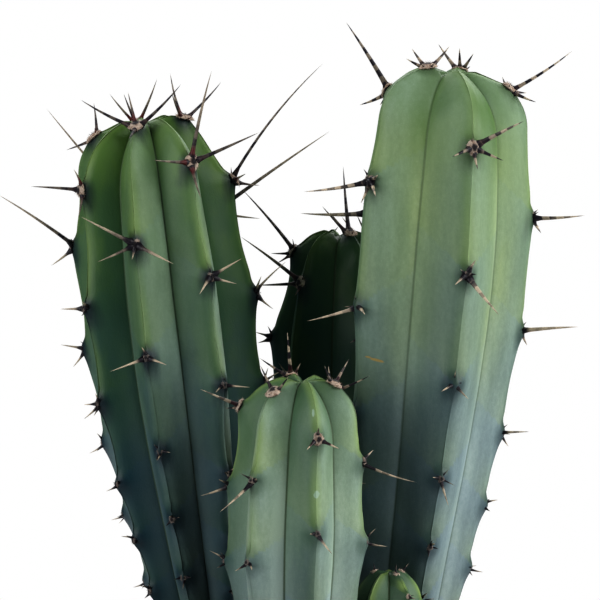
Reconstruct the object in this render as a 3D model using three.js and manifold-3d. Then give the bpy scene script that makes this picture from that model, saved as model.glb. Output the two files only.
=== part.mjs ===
// Potted blue candle cactus: a clump of ribbed columnar stems with spines, in soil in a plain clay pot.
// Millimetres, +Z up, the front towards -Y. The origin is the middle of the pot's foot, where it stands.
import * as THREE from "three";
import { mergeVertices } from "three/addons/utils/BufferGeometryUtils.js";
import Module from "manifold-3d";

const wasm = await Module();
wasm.setup();

// The pot: height, outer radius at the foot and under the rim, the rim band and the wall.
const POT_HEIGHT = 152;
const POT_FOOT_RADIUS = 62;
const POT_TOP_RADIUS = 81;
const RIM_PROUD = 5;
const RIM_HEIGHT = 28;
const WALL = 7;
const POT_EDGE = 2;
const RIM_LEAN = 1;
const POT_SIDES = 40;
const DRAIN_HOLES = 4;
const DRAIN_RADIUS = 5;
const DRAIN_SIDES = 16;
const DRAIN_RING_RADIUS = 30;

// The soil: its level, how much it is heaped towards the stems, and the gap to what it touches.
const SOIL_LEVEL = 140;
const SOIL_HEAP = 2.5;
const GAP = 0.3;
const HOLE_CLEARANCE = 1.2;
const HOLE_SIDES = 20;
const HOLE_TOP = 15;
const ROOT_LENGTH = 38;

// How a rib is formed, for every stem. The crest sinks by the stem's sag between two areoles that stand at
// least the full-sag gap apart, a little nearer to the lower one, and by a rib's cut nearer to the upper one.
// Each areole has a seat that flares out below the crest above it. The flanks bulge between crest and groove,
// the dome at the tip dips in the middle, where the ribs meet, and the root narrows below the soil.
const FULL_SAG_GAP = 30;
const SAG_SKEW = 1.2;
const CUT_SKEW = 0.8;
const SEAT_FLARE = 1.9;
const SEAT_SKEW = 2.6;
const SEAT_SPAN = 2.5;
const REACH_FADE = [46, 76];
const FLANK_BULGE = 0.2;
const DOME_POWER = 2.2;
const GROOVE_DOME = 1.3;
const APEX_DIP = 2.8;
const ROOT_NARROWING = 0.45;
const FULL_GROWN_RADIUS = 34;
const LOWEST_AREOLE = 6;

// Where the rows of points lie on the dome, as shares of its depth.
const DOME_ROWS = [0.68, 0.4, 0.18, 0.05];

// How a spine is formed: its radius at the base, from a short one's to a long one's, how deep its root is
// sunk, and how far a long one is bent, as a share of its length.
const SPINE_SIDES = 3;
const SPINE_RADIUS = [0.45, 0.8];
const THICK_SPINE_LENGTH = 24;
const SPINE_ROOT = 2.2;
const SPINE_BEND_FROM = 17;
const SPINE_BEND = 0.03;
const MIDDLE_THICKNESS = 0.7;

// The rule for the spines that weren't measured: the central one's length near the tip and near the foot,
// the splay of a central and of a radial spine as [least, most], and their lengths as shares of that length.
const YOUNG_SPINE = 19;
const OLD_SPINE = 4.5;
const CENTRAL_SPLAY = [20, 45];
const RADIAL_SPLAY = [62, 78];
const CENTRAL_SHARE = [0.85, 1.3];
const RADIAL_SHARE = [0.45, 0.8];

// Spines keep clear of the other stems and of the soil: they are tried at these shares of their length, and
// left out below the shortest.
const SPINE_CLEARANCE = 1;
const SOIL_CLEARANCE = 1.5;
const TRIED_SHARES = [1, 0.6, 0.35];
const SHORTEST_SPINE = 3;

// The stems. Places are [x, y, z]; depths are measured down the stem from its tip. crest is the radius at
// the rib crests: [at the shoulder, at the widest, at the foot], and taper gives the depths between which it
// falls from the widest to the foot. groove is the groove's radius as a share of the crest's. gap is the
// distance between areoles on a rib: low near the foot, high near the tip, growing between two heights above
// the soil. flank gives the columns of points between a crest and a groove, as shares of the way, rowsPerGap
// how many rows of faces form the crest between two areoles, sink how far it sags there, radials how many
// spines stand round the central one of a young areole, stout how long they are beside a tall stem's, and dip
// how deep the middle of its dome lies, where that isn't as on the tall ones.
// Each rib has its turn about the stem in degrees, from the front to the right, and the depths of its first
// areoles; reach makes its crest stand out further round the second one, cut makes it sink deeper between the
// first two, and flare makes the second one's seat flare out further.
// spines lists the ones that were measured, for its areoles in order, as [clock, splay, length] each: clock
// is the direction round the areole (0 up the rib, 90 to the right) and splay the angle off straight out.
const STEMS = {
  stem_left: {
    foot: [-28, 5],
    tip: [-54, 8, 358.5],
    bow: -1.5,
    crest: [28.5, 33, 15.5],
    taper: [80, 225],
    groove: 0.64,
    dome: 23,
    flank: [0.28, 0.68],
    rowsPerGap: 3,
    radials: 3,
    sink: 2,
    gap: { low: 16, high: 42, from: 25, to: 175 },
    ribs: [
      {
        turn: -105,
        reach: 1.05,
        cut: -0.8,
        areoles: [6, 44, 81, 115.5, 142, 167],
        spines: [[[205, 75, 15], [330, 40, 12]], [[35, 30, 32], [160, 60, 10]], [[70, 25, 8], [180, 65, 8]]],
      },
      {
        turn: -57,
        areoles: [22.5, 63, 97, 126.5, 147.5],
        spines: [[[285, 25, 17], [150, 70, 11], [20, 65, 9]], [[260, 40, 8], [60, 60, 6]]],
      },
      {
        turn: -12,
        areoles: [2.5, 41.5, 80.5, 114, 139, 161],
        spines: [
          [[275, 60, 21], [65, 60, 21], [175, 80, 16], [340, 35, 12]],
          [[300, 60, 21], [240, 60, 15], [120, 70, 19], [185, 70, 6]],
          [[250, 55, 14], [110, 65, 10], [355, 50, 5]],
        ],
      },
      {
        turn: 35,
        areoles: [16.5, 56, 94, 126],
        spines: [
          [[15, 60, 32], [80, 60, 25], [275, 75, 19], [200, 65, 17]],
          [[70, 55, 12], [240, 65, 13], [125, 65, 9]],
          [[110, 50, 15], [255, 65, 7]],
        ],
      },
      {
        turn: 88,
        cut: 3.4,
        flare: 2.6,
        areoles: [2.5, 26, 67, 99.5],
        spines: [[[45, 45, 18], [130, 45, 20], [300, 55, 14]], [[10, 13, 51], [185, 55, 9], [265, 60, 10]]],
      },
      { turn: 138, areoles: [39.5], spines: [[[305, 45, 50], [250, 60, 16]]] },
      {
        turn: 196,
        areoles: [3.5, 39],
        spines: [[[50, 55, 15], [330, 55, 18], [40, 30, 11]], [[35, 76, 52], [250, 60, 14]]],
      },
    ],
  },
  stem_right: {
    foot: [29, 3],
    tip: [52, 6, 376],
    bow: 3,
    crest: [29.5, 33.5, 20],
    taper: [65, 238],
    groove: 0.73,
    dome: 20.5,
    flank: [0.28, 0.68],
    rowsPerGap: 3,
    radials: 3,
    sink: 1.1,
    gap: { low: 17, high: 45, from: 25, to: 175 },
    ribs: [
      {
        turn: -131,
        areoles: [12, 56.5],
        spines: [[[40, 40, 28], [180, 60, 14], [210, 75, 11]], [[120, 35, 24], [240, 50, 14]]],
      },
      {
        turn: -56,
        areoles: [1, 41, 85, 122],
        spines: [
          [[260, 50, 9], [205, 65, 8], [5, 60, 11]],
          [[215, 35, 23], [115, 75, 14], [150, 70, 11], [75, 75, 8]],
          [[220, 35, 18], [100, 75, 10]],
        ],
      },
      {
        turn: 16,
        areoles: [25.5, 68.5, 107, 141, 166],
        spines: [
          [[55, 55, 20], [250, 65, 11], [115, 65, 11], [175, 70, 8]],
          [[150, 55, 19], [235, 70, 7], [20, 65, 6]],
          [[250, 60, 8], [140, 60, 7]],
          [[170, 60, 10], [280, 60, 5]],
        ],
      },
      {
        turn: 87,
        areoles: [6, 50, 90.5, 127.5, 154, 177],
        spines: [
          [[180, 20, 25], [205, 80, 11], [140, 75, 8]],
          [[245, 15, 18], [140, 80, 9]],
          [[290, 15, 20], [140, 80, 8]],
          [[290, 25, 10], [160, 70, 6]],
        ],
      },
      { turn: 159, areoles: [2, 40], spines: [[[70, 50, 12], [355, 50, 9], [315, 60, 9]]] },
    ],
  },
  stem_front: {
    foot: [-2, -37],
    tip: [0.5, -37, 274.5],
    bow: -1,
    crest: [22, 25, 15],
    taper: [58, 138],
    groove: 0.68,
    dome: 18,
    flank: [0.28, 0.68],
    rowsPerGap: 3,
    radials: 3,
    sink: 1.8,
    gap: { low: 15, high: 33, from: 5, to: 95 },
    ribs: [
      {
        turn: -97,
        areoles: [11.5, 39, 66],
        spines: [[[85, 30, 16], [230, 60, 8]], [[170, 45, 10], [70, 55, 5]]],
      },
      {
        turn: -41,
        areoles: [4, 33, 61],
        spines: [[[305, 50, 10], [50, 60, 8]], [[190, 55, 16], [80, 60, 5]], [[110, 65, 6], [215, 60, 5]]],
      },
      {
        turn: 17,
        areoles: [18, 49.5],
        spines: [[[115, 60, 8], [240, 60, 7], [350, 60, 5]], [[155, 60, 9], [270, 60, 4]]],
      },
      {
        turn: 80,
        areoles: [2.5, 29, 56.5],
        spines: [[[90, 50, 12], [330, 55, 8]], [[190, 35, 19], [60, 60, 6]], [[155, 30, 7], [20, 50, 5]]],
      },
      { turn: 139, areoles: [7.5, 40], spines: [[[270, 50, 13], [40, 50, 9]]] },
      { turn: 200, areoles: [2, 30], spines: [[[20, 45, 18], [95, 60, 12], [335, 60, 6]]] },
    ],
  },
  stem_back: {
    foot: [11, 46],
    tip: [14.7, 53, 312.5],
    bow: 0.5,
    crest: [19, 25.8, 16],
    taper: [60, 170],
    groove: 0.67,
    dome: 14.5,
    flank: [0.28, 0.68],
    rowsPerGap: 2,
    radials: 2,
    sink: 1.8,
    gap: { low: 17, high: 38, from: 20, to: 140 },
    ribs: [
      {
        turn: -96,
        areoles: [9, 41],
        spines: [[[45, 35, 32], [145, 40, 8], [175, 70, 7]], [[85, 30, 6], [160, 50, 5]]],
      },
      { turn: -46, areoles: [19, 55], spines: [[[307, 50, 27], [252, 50, 16], [165, 65, 6]]] },
      { turn: 29, areoles: [1, 36], spines: [[[15, 50, 28], [320, 60, 14], [335, 65, 11]]] },
      { turn: 85, areoles: [3, 42], spines: [[[350, 65, 10], [90, 50, 8]]] },
      { turn: 145, areoles: [5, 30] },
      { turn: 205, areoles: [8, 43] },
    ],
  },
  pup_right: {
    foot: [30, -30],
    tip: [30.6, -29.5, 205],
    bow: 0,
    crest: [13.5, 14, 11],
    taper: [20, 60],
    groove: 0.66,
    dome: 17,
    flank: [0.4],
    rowsPerGap: 2,
    radials: 2,
    sink: 0.6,
    stout: 0.2,
    dip: 1.1,
    gap: { low: 12, high: 17, from: 5, to: 50 },
    ribs: [
      { turn: -108, areoles: [1.3] },
      { turn: -36, areoles: [14] },
      { turn: 36, areoles: [0.8, 7.4] },
      { turn: 108, areoles: [1, 14] },
      { turn: 180, areoles: [4] },
    ],
  },
  pup_left: {
    foot: [-25, -24],
    tip: [-26, -24.5, 191],
    bow: 0,
    crest: [6.2, 7.2, 6],
    taper: [15, 50],
    groove: 0.72,
    dome: 8,
    flank: [0.4],
    rowsPerGap: 2,
    radials: 1,
    sink: 0.4,
    stout: 0.2,
    dip: 0.8,
    gap: { low: 12, high: 14, from: 5, to: 45 },
    ribs: [
      { turn: -92, areoles: [4] },
      { turn: -20, areoles: [2.5] },
      { turn: 52, areoles: [6] },
      { turn: 124, areoles: [3] },
      { turn: 196, areoles: [5] },
    ],
  },
};

const flesh = new THREE.MeshStandardMaterial({ color: 0x4f7058, roughness: 0.55, metalness: 0 });
const shadedFlesh = new THREE.MeshStandardMaterial({ color: 0x3c5540, roughness: 0.55, metalness: 0 });
const earth = new THREE.MeshStandardMaterial({ color: 0x4a3a2c, roughness: 0.95, metalness: 0 });
const clay = new THREE.MeshStandardMaterial({ color: 0xa8623e, roughness: 0.85, metalness: 0 });

const clamp = (x) => Math.min(1, Math.max(0, x));
const mix = (a, b, t) => a + (b - a) * t;
const radians = (degrees) => (degrees * Math.PI) / 180;

// 0 below a, 1 above b, and a smooth rise between them.
function rise(a, b, x) {
  const t = clamp((x - a) / (b - a));
  return t * t * (3 - 2 * t);
}

// A fixed draw from 0 to 1 for each number.
function draw(n) {
  const v = Math.sin(n * 12.9898 + 4.1414) * 43758.5453;
  return v - Math.floor(v);
}

function solidFrom(geometry) {
  const bare = geometry.clone();
  bare.deleteAttribute("normal");
  bare.deleteAttribute("uv");
  const merged = mergeVertices(bare, 1e-4);
  const vertProperties = new Float32Array(merged.attributes.position.array);
  const triVerts = new Uint32Array(merged.index.array);
  return new wasm.Manifold(new wasm.Mesh({ numProp: 3, vertProperties, triVerts }));
}

function meshFrom(name, solid, material) {
  const made = solid.getMesh();
  const geometry = new THREE.BufferGeometry();
  geometry.setAttribute("position", new THREE.BufferAttribute(new Float32Array(made.vertProperties), 3));
  geometry.setIndex(new THREE.BufferAttribute(new Uint32Array(made.triVerts), 1));
  geometry.computeVertexNormals();
  const mesh = new THREE.Mesh(geometry, material);
  mesh.name = name;
  return mesh;
}

// One stem's form: its axis, its ribs in order round it, and the radius and place of any point of it.
class Stem {
  constructor(name, spec) {
    this.name = name;
    Object.assign(this, spec);
    this.dip = spec.dip ?? APEX_DIP;
    this.footPoint = new THREE.Vector3(spec.foot[0], spec.foot[1], SOIL_LEVEL);
    this.tipPoint = new THREE.Vector3(...spec.tip);
    this.length = this.footPoint.distanceTo(this.tipPoint);
    this.up = this.tipPoint.clone().sub(this.footPoint).normalize();
    this.right = new THREE.Vector3(0, -1, 0).cross(this.up).negate().normalize();
    this.front = this.right.clone().cross(this.up).normalize();
    this.ribs.forEach((rib, i) => {
      const next = this.ribs[(i + 1) % this.ribs.length];
      const step = (next.turn - rib.turn + 360) % 360;
      rib.grooveAfter = rib.turn + step / 2;
      rib.depths = this.areoleDepths(rib);
    });
    this.ribs.forEach((rib, i) => {
      const before = this.ribs[(i + this.ribs.length - 1) % this.ribs.length];
      rib.grooveBefore = before.grooveAfter > rib.turn ? before.grooveAfter - 360 : before.grooveAfter;
    });
  }

  // The distance to the next areole down the rib from this depth.
  gapBelow(depth) {
    const { low, high, from, to } = this.gap;
    const height = this.length - depth - high / 3;
    return mix(low, high, rise(from, to, height));
  }

  areoleDepths(rib) {
    const depths = [...rib.areoles];
    let next = depths.at(-1) + this.gapBelow(depths.at(-1));
    while (next < this.length - LOWEST_AREOLE) {
      depths.push(next);
      next += this.gapBelow(next);
    }
    return depths;
  }

  axis(depth) {
    const share = 1 - depth / this.length;
    const bowed = share > 0 && share < 1 ? this.bow * 4 * share * (1 - share) : 0;
    return this.footPoint.clone().lerp(this.tipPoint, share).addScaledVector(this.right, bowed);
  }

  outward(turn) {
    const angle = radians(turn);
    return this.front.clone().multiplyScalar(Math.cos(angle)).addScaledVector(this.right, Math.sin(angle));
  }

  // The crest's radius with the dome left off.
  girth(depth) {
    const [shoulder, widest, foot] = this.crest;
    if (depth > this.length) {
      return foot * (1 - ROOT_NARROWING * ((depth - this.length) / ROOT_LENGTH) ** 2);
    }
    const upper = mix(shoulder, widest, rise(this.dome * 0.6, this.dome * 3, depth));
    return mix(upper, foot, rise(this.taper[0], this.taper[1], depth));
  }

  static domed(share) {
    return share >= 1 ? 1 : Math.sqrt(1 - (1 - Math.max(0, share)) ** DOME_POWER);
  }

  // Where a depth lies on a rib: how many areoles are above it, and its share of the gap that it is in. The
  // last number is how fully that gap sags.
  between(rib, depth) {
    const above = rib.depths.filter((d) => d <= depth).length;
    const from = above > 0 ? rib.depths[above - 1] : 0;
    const gap = (rib.depths[above] ?? from) - from;
    return [above, gap > 0 ? (depth - from) / gap : 0, Math.min(1, gap / FULL_SAG_GAP)];
  }

  // How far the crest sinks between one areole and the next.
  sag(rib, depth) {
    const [above, share, full] = this.between(rib, depth);
    const cut = above === 1 ? rib.cut ?? 0 : 0;
    const sunk = this.sink * full * Math.sin(Math.PI * share ** SAG_SKEW);
    return sunk + cut * Math.sin(Math.PI * share ** CUT_SKEW);
  }

  // How far the crest beside an areole lies below the areole's seat.
  seatFlare(rib, depth) {
    const [above, share, full] = this.between(rib, depth);
    if (above === 0) return 0;
    const flare = SEAT_FLARE * full + (above === 1 ? rib.flare ?? 0 : 0);
    return flare * Math.sin(Math.PI * share ** SEAT_SKEW);
  }

  // A point over the middle of a rib, sunk below its full reach.
  ribPoint(rib, depth, sunk) {
    const stretch = rise(this.dome, this.dome * 2, depth) * (1 - rise(...REACH_FADE, depth));
    const reach = mix(1, rib.reach ?? 1, stretch);
    const radius = reach * this.girth(depth) * Stem.domed(depth / this.dome) - sunk;
    return this.axis(depth).addScaledVector(this.outward(rib.turn), radius);
  }

  crestPoint(rib, depth) {
    return this.ribPoint(rib, depth, this.sag(rib, depth));
  }

  groovePoint(turn, depth) {
    const sunk = depth + this.dip * (1 - rise(0, this.dome * 1.5, depth));
    const radius = this.girth(depth) * this.groove * Stem.domed(depth / (this.dome * GROOVE_DOME));
    return this.axis(sunk).addScaledVector(this.outward(turn), radius);
  }

  // A point on the flank: share 0 on the crest, 1 in the groove at the given turn.
  flankPoint(rib, grooveTurn, share, crestDepth, depth) {
    const eased = mix(depth, crestDepth, (1 - share) ** 2);
    const crest = this.crestPoint(rib, eased);
    const groove = this.groovePoint(grooveTurn, eased);
    const bulge = FLANK_BULGE * share * (1 - share) * this.girth(eased) * Stem.domed(eased / this.dome);
    const middle = this.outward(mix(rib.turn, grooveTurn, 0.5));
    return crest.lerp(groove, share).addScaledVector(middle, bulge);
  }

  // Depths of the rows of points, from the root's end up to the tip.
  rows() {
    const rows = [this.length + ROOT_LENGTH, this.length + ROOT_LENGTH * 0.5, this.length];
    let depth = this.length - this.gapBelow(this.length) / this.rowsPerGap;
    while (depth > this.dome * 1.1) {
      rows.push(depth);
      depth -= this.gapBelow(depth) / this.rowsPerGap;
    }
    return rows.concat(DOME_ROWS.map((share) => share * this.dome));
  }

  // The rows of one rib's crest, with the nearest row moved onto each areole.
  crestRows(rib, rows) {
    const moved = [...rows];
    for (const depth of rib.depths) {
      let nearest = 3;
      rows.forEach((row, j) => {
        if (j > 2 && Math.abs(row - depth) < Math.abs(rows[nearest] - depth)) nearest = j;
      });
      if (moved[nearest] === rows[nearest] && depth > this.dome * 0.1) moved[nearest] = depth;
    }
    return moved;
  }

  // The body of the stem as one closed surface.
  body() {
    const rows = this.rows();
    const columns = [];
    for (const rib of this.ribs) {
      const crest = this.crestRows(rib, rows);
      const column = (turn, share) =>
        rows.map((depth, j) => this.flankPoint(rib, turn, share, crest[j], depth));
      for (const share of [...this.flank].reverse()) {
        columns.push(column(rib.grooveBefore, share));
      }
      columns.push(column(rib.turn, 0));
      for (const share of this.flank) columns.push(column(rib.grooveAfter, share));
      columns.push(rows.map((depth) => this.groovePoint(rib.grooveAfter, depth)));
    }
    const points = [this.axis(rows[0]), this.axis(this.dip)];
    for (const column of columns) points.push(...column);
    const count = rows.length;
    const at = (i, j) => 2 + (i % columns.length) * count + j;
    const faces = [];
    for (let i = 0; i < columns.length; i++) {
      faces.push(0, at(i + 1, 0), at(i, 0));
      for (let j = 0; j + 1 < count; j++) {
        faces.push(at(i, j), at(i + 1, j), at(i + 1, j + 1));
        faces.push(at(i, j), at(i + 1, j + 1), at(i, j + 1));
      }
      faces.push(1, at(i, count - 1), at(i + 1, count - 1));
    }
    const geometry = new THREE.BufferGeometry().setFromPoints(points);
    geometry.setIndex(faces);
    return solidFrom(geometry);
  }

  // The frame of an areole: its point, straight out, up the rib and to the right.
  areoleFrame(rib, depth) {
    const point = this.crestPoint(rib, depth);
    const span = Math.min(SEAT_SPAN, depth * 0.5);
    const seat = (d) => this.ribPoint(rib, d, this.seatFlare(rib, d));
    const along = seat(depth - span).sub(seat(depth + span)).normalize();
    const right = along.clone().cross(this.outward(rib.turn)).normalize();
    const out = right.clone().cross(along).normalize();
    return { point, out, along, right };
  }

  // Whether a point is in this stem or nearer to it than the clearance.
  holds(point, clearance) {
    const depth = this.tipPoint.clone().sub(point).dot(this.up);
    if (depth < -clearance || depth > this.length + ROOT_LENGTH) return false;
    const reach = this.girth(depth) * Stem.domed((depth + clearance) / this.dome);
    return this.axis(depth).distanceTo(point) < reach + clearance;
  }
}

// The spines of one areole as [clock, splay, length], by the measured list or by the rule: one central spine
// that points out and a little up or down, and radials spread round it, shorter the older the areole is.
function spinesOf(stem, ribIndex, index, depth) {
  const measured = stem.ribs[ribIndex].spines?.[index];
  if (measured) return measured;
  const seed = stem.name.length * 7 + stem.length + ribIndex * 31 + index * 5.7;
  const age = clamp(depth / stem.length);
  const size = (stem.stout ?? 1) * mix(0.55, 1, stem.crest[1] / FULL_GROWN_RADIUS);
  const length = mix(YOUNG_SPINE, OLD_SPINE, rise(0.02, 0.65, age)) * size;
  const radials = age < 0.55 ? stem.radials : Math.max(1, stem.radials - 1);
  const turned = draw(seed) * 120;
  const upOrDown = draw(seed + 1) < 0.5 ? 8 : 172;
  const central = mix(...CENTRAL_SPLAY, draw(seed + 2));
  const spines = [[upOrDown, central, length * mix(...CENTRAL_SHARE, draw(seed + 3))]];
  for (let i = 0; i < radials; i++) {
    const clock = turned + (360 / radials) * i + 24 * draw(seed + 4 + i);
    const splay = mix(...RADIAL_SPLAY, draw(seed + 9 + i));
    spines.push([clock, splay, length * mix(...RADIAL_SHARE, draw(seed + 14 + i))]);
  }
  return spines;
}

// One spine as a slim tapered prism with its root sunk in the stem, bent once if it is long.
function spineSolid(frame, [clock, splay, length]) {
  const angle = radians(clock);
  const sideways = frame.along.clone().multiplyScalar(Math.cos(angle));
  sideways.addScaledVector(frame.right, Math.sin(angle));
  const towards = frame.out.clone().multiplyScalar(Math.cos(radians(splay)));
  towards.addScaledVector(sideways, Math.sin(radians(splay)));
  const across = towards.clone().cross(frame.along).normalize();
  const other = towards.clone().cross(across).normalize();
  const thick = mix(...SPINE_RADIUS, clamp(length / THICK_SPINE_LENGTH));
  const root = frame.point.clone().addScaledVector(frame.out, -SPINE_ROOT);
  const tip = frame.point.clone().addScaledVector(towards, length);
  const stations = [[root, thick]];
  if (length > SPINE_BEND_FROM) {
    const middle = frame.point.clone().lerp(tip, 0.5).addScaledVector(sideways, length * SPINE_BEND);
    stations.push([middle, thick * MIDDLE_THICKNESS]);
  }
  const points = [];
  for (const [centre, radius] of stations) {
    for (let i = 0; i < SPINE_SIDES; i++) {
      const turn = (2 * Math.PI * i) / SPINE_SIDES;
      const corner = centre.clone().addScaledVector(across, radius * Math.cos(turn));
      points.push(corner.addScaledVector(other, radius * Math.sin(turn)));
    }
  }
  points.push(tip);
  const faces = [0, 2, 1];
  for (let s = 0; s < stations.length; s++) {
    for (let i = 0; i < SPINE_SIDES; i++) {
      const a = s * SPINE_SIDES + i;
      const b = s * SPINE_SIDES + ((i + 1) % SPINE_SIDES);
      if (s + 1 < stations.length) {
        faces.push(a, b, b + SPINE_SIDES);
        faces.push(a, b + SPINE_SIDES, a + SPINE_SIDES);
      } else {
        faces.push(a, b, points.length - 1);
      }
    }
  }
  const geometry = new THREE.BufferGeometry().setFromPoints(points);
  geometry.setIndex(faces);
  return { solid: solidFrom(geometry), from: frame.point, tip };
}

// Whether a spine keeps clear of the other stems, the soil and the pot.
function isClear(spine, stem, stems) {
  for (let i = 1; i <= 8; i++) {
    const point = spine.from.clone().lerp(spine.tip, i / 8);
    if (point.z < SOIL_LEVEL + SOIL_HEAP + SOIL_CLEARANCE) return false;
    if (stems.some((other) => other !== stem && other.holds(point, SPINE_CLEARANCE))) return false;
  }
  return true;
}

function grownStem(stem, stems) {
  const spines = [];
  stem.ribs.forEach((rib, ribIndex) => {
    rib.depths.forEach((depth, index) => {
      const frame = stem.areoleFrame(rib, depth);
      for (const [clock, splay, length] of spinesOf(stem, ribIndex, index, depth)) {
        const tries = TRIED_SHARES.map((share) => [clock, splay, length * share]);
        const fitting = tries.filter((spine) => spine[2] >= SHORTEST_SPINE);
        const found = fitting.map((spine) => spineSolid(frame, spine)).find((s) => isClear(s, stem, stems));
        if (found) spines.push(found.solid);
      }
    });
  });
  return wasm.Manifold.union([stem.body(), ...spines]);
}

function cylinder(radius, from, to, sides) {
  const length = from.distanceTo(to);
  const geometry = new THREE.CylinderGeometry(radius, radius, length, sides);
  const turn = new THREE.Quaternion().setFromUnitVectors(
    new THREE.Vector3(0, 1, 0),
    to.clone().sub(from).normalize(),
  );
  geometry.applyQuaternion(turn);
  const middle = from.clone().lerp(to, 0.5);
  geometry.translate(middle.x, middle.y, middle.z);
  return solidFrom(geometry);
}

// A solid turned about the Z axis from an outline of [radius, height] points, which starts and ends on it.
function turned(outline, sides) {
  const geometry = new THREE.LatheGeometry(outline.map(([r, z]) => new THREE.Vector2(r, z)), sides);
  geometry.rotateX(Math.PI / 2);
  return solidFrom(geometry);
}

const outerRadius = (z) => mix(POT_FOOT_RADIUS, POT_TOP_RADIUS, z / (POT_HEIGHT - RIM_HEIGHT));
const innerRadius = (z) => outerRadius(Math.min(z, POT_HEIGHT - RIM_HEIGHT)) - WALL;

function potSolid() {
  const underRim = POT_HEIGHT - RIM_HEIGHT;
  const rim = POT_TOP_RADIUS + RIM_PROUD;
  const mouth = innerRadius(POT_HEIGHT);
  let pot = turned(
    [
      [0, 0],
      [POT_FOOT_RADIUS - POT_EDGE, 0],
      [outerRadius(POT_EDGE), POT_EDGE],
      [outerRadius(underRim), underRim],
      [rim - POT_EDGE, underRim],
      [rim, underRim + POT_EDGE],
      [rim + RIM_LEAN, POT_HEIGHT - POT_EDGE],
      [rim - RIM_LEAN, POT_HEIGHT],
      [mouth + POT_EDGE, POT_HEIGHT],
      [mouth, POT_HEIGHT - POT_EDGE],
      [mouth, underRim],
      [innerRadius(WALL), WALL],
      [0, WALL],
    ],
    POT_SIDES,
  );
  for (let i = 0; i < DRAIN_HOLES; i++) {
    const angle = (2 * Math.PI * (i + 0.5)) / DRAIN_HOLES;
    const x = DRAIN_RING_RADIUS * Math.cos(angle);
    const y = DRAIN_RING_RADIUS * Math.sin(angle);
    const from = new THREE.Vector3(x, y, -1);
    const to = new THREE.Vector3(x, y, WALL + 1);
    pot = pot.subtract(cylinder(DRAIN_RADIUS, from, to, DRAIN_SIDES));
  }
  return pot;
}

function soilSolid(stems) {
  const floor = WALL + GAP;
  const underRim = POT_HEIGHT - RIM_HEIGHT;
  const edge = innerRadius(SOIL_LEVEL) - GAP;
  let soil = turned(
    [
      [0, floor],
      [innerRadius(floor) - GAP, floor],
      [innerRadius(underRim) - GAP, underRim],
      [edge, SOIL_LEVEL - 1],
      [edge * 0.9, SOIL_LEVEL],
      [edge * 0.5, SOIL_LEVEL + SOIL_HEAP * 0.8],
      [0, SOIL_LEVEL + SOIL_HEAP],
    ],
    POT_SIDES,
  );
  for (const stem of stems) {
    const from = stem.axis(stem.length + ROOT_LENGTH + GAP);
    const to = stem.axis(stem.length - HOLE_TOP);
    soil = soil.subtract(cylinder(stem.crest[2] + HOLE_CLEARANCE, from, to, HOLE_SIDES));
  }
  return soil;
}

const stems = Object.entries(STEMS).map(([name, spec]) => new Stem(name, spec));

const plant = new THREE.Group();
for (const stem of stems) {
  const material = stem.name === "stem_back" ? shadedFlesh : flesh;
  plant.add(meshFrom(stem.name, grownStem(stem, stems), material));
}

const potted = new THREE.Group();
potted.add(meshFrom("pot", potSolid(), clay));
potted.add(meshFrom("soil", soilSolid(stems), earth));
potted.add(plant);

export default potted;
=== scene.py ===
"""Potted blue candle cactus: its skin, spines, wool, soil, grit and pot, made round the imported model.

Lengths in this script are in millimetres, unless a property says otherwise, and meshes are written in metres.
"""
import math
from collections import namedtuple
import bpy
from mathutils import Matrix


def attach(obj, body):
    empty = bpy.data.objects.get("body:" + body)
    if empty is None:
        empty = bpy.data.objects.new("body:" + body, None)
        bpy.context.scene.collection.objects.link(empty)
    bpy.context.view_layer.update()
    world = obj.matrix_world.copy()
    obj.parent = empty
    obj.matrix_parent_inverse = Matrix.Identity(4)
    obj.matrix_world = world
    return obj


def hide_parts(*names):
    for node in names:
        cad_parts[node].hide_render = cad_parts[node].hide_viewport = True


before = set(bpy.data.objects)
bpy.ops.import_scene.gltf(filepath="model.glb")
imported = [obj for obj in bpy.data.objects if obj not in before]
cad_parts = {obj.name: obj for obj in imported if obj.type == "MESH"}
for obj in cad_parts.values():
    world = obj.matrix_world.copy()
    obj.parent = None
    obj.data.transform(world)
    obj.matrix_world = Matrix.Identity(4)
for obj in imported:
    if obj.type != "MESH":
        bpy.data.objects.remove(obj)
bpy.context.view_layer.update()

from types import SimpleNamespace

import bpy
import numpy as np
from bpy.props import FloatProperty, FloatVectorProperty, IntProperty, PointerProperty
from mathutils import Vector

bl_info = {
    "name": "Potted Blue Candle Cactus",
    "version": (1, 0, 0),
    "blender": (4, 5, 0),
    "location": "3D View > Sidebar > Cactus",
    "description": "Makes the skin, spines, wool, soil, grit and pot of a potted blue candle cactus",
    "category": "Object",
}

BODY = "root"
MM = 0.001

# The pot and the soil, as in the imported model.
POT_HEIGHT = 152
POT_FOOT_RADIUS = 62
POT_TOP_RADIUS = 81
RIM_PROUD = 5
RIM_HEIGHT = 28
RIM_LEAN = 1
WALL = 7
POT_EDGE = 2
DRAIN_HOLES = 4
DRAIN_RADIUS = 5
DRAIN_RING_RADIUS = 30
SOIL_LEVEL = 140
SOIL_HEAP = 2.5
GAP = 0.3
ROOT_LENGTH = 38

# How a rib is formed, for every stem.
FULL_SAG_GAP = 30
SAG_SKEW = 1.2
CUT_SKEW = 0.8
SEAT_FLARE = 1.9
SEAT_SKEW = 2.6
SEAT_SPAN = 2.5
REACH_FADE = (46, 76)
FLANK_BULGE = 0.08
DOME_POWER = 2.2
GROOVE_DOME = 1.3
APEX_DIP = 2.8
ROOT_NARROWING = 0.45
FULL_GROWN_RADIUS = 34
LOWEST_AREOLE = 6
SMALLEST_AREOLE = 0.4

# The skin's fine relief on a full-grown stem: how wide the rounding of a crest, the crease in a groove and
# the swelling at an areole are, and how high above the areole its notch is, how wide and how deep.
CREST_WIDTH = 2.3
CREASE_WIDTH = 0.6
SWELL_WIDTH = 3.6
NOTCH_ABOVE = 4.5
NOTCH_WIDTH = 2.4
NOTCH_DEPTH = 0.45

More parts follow.
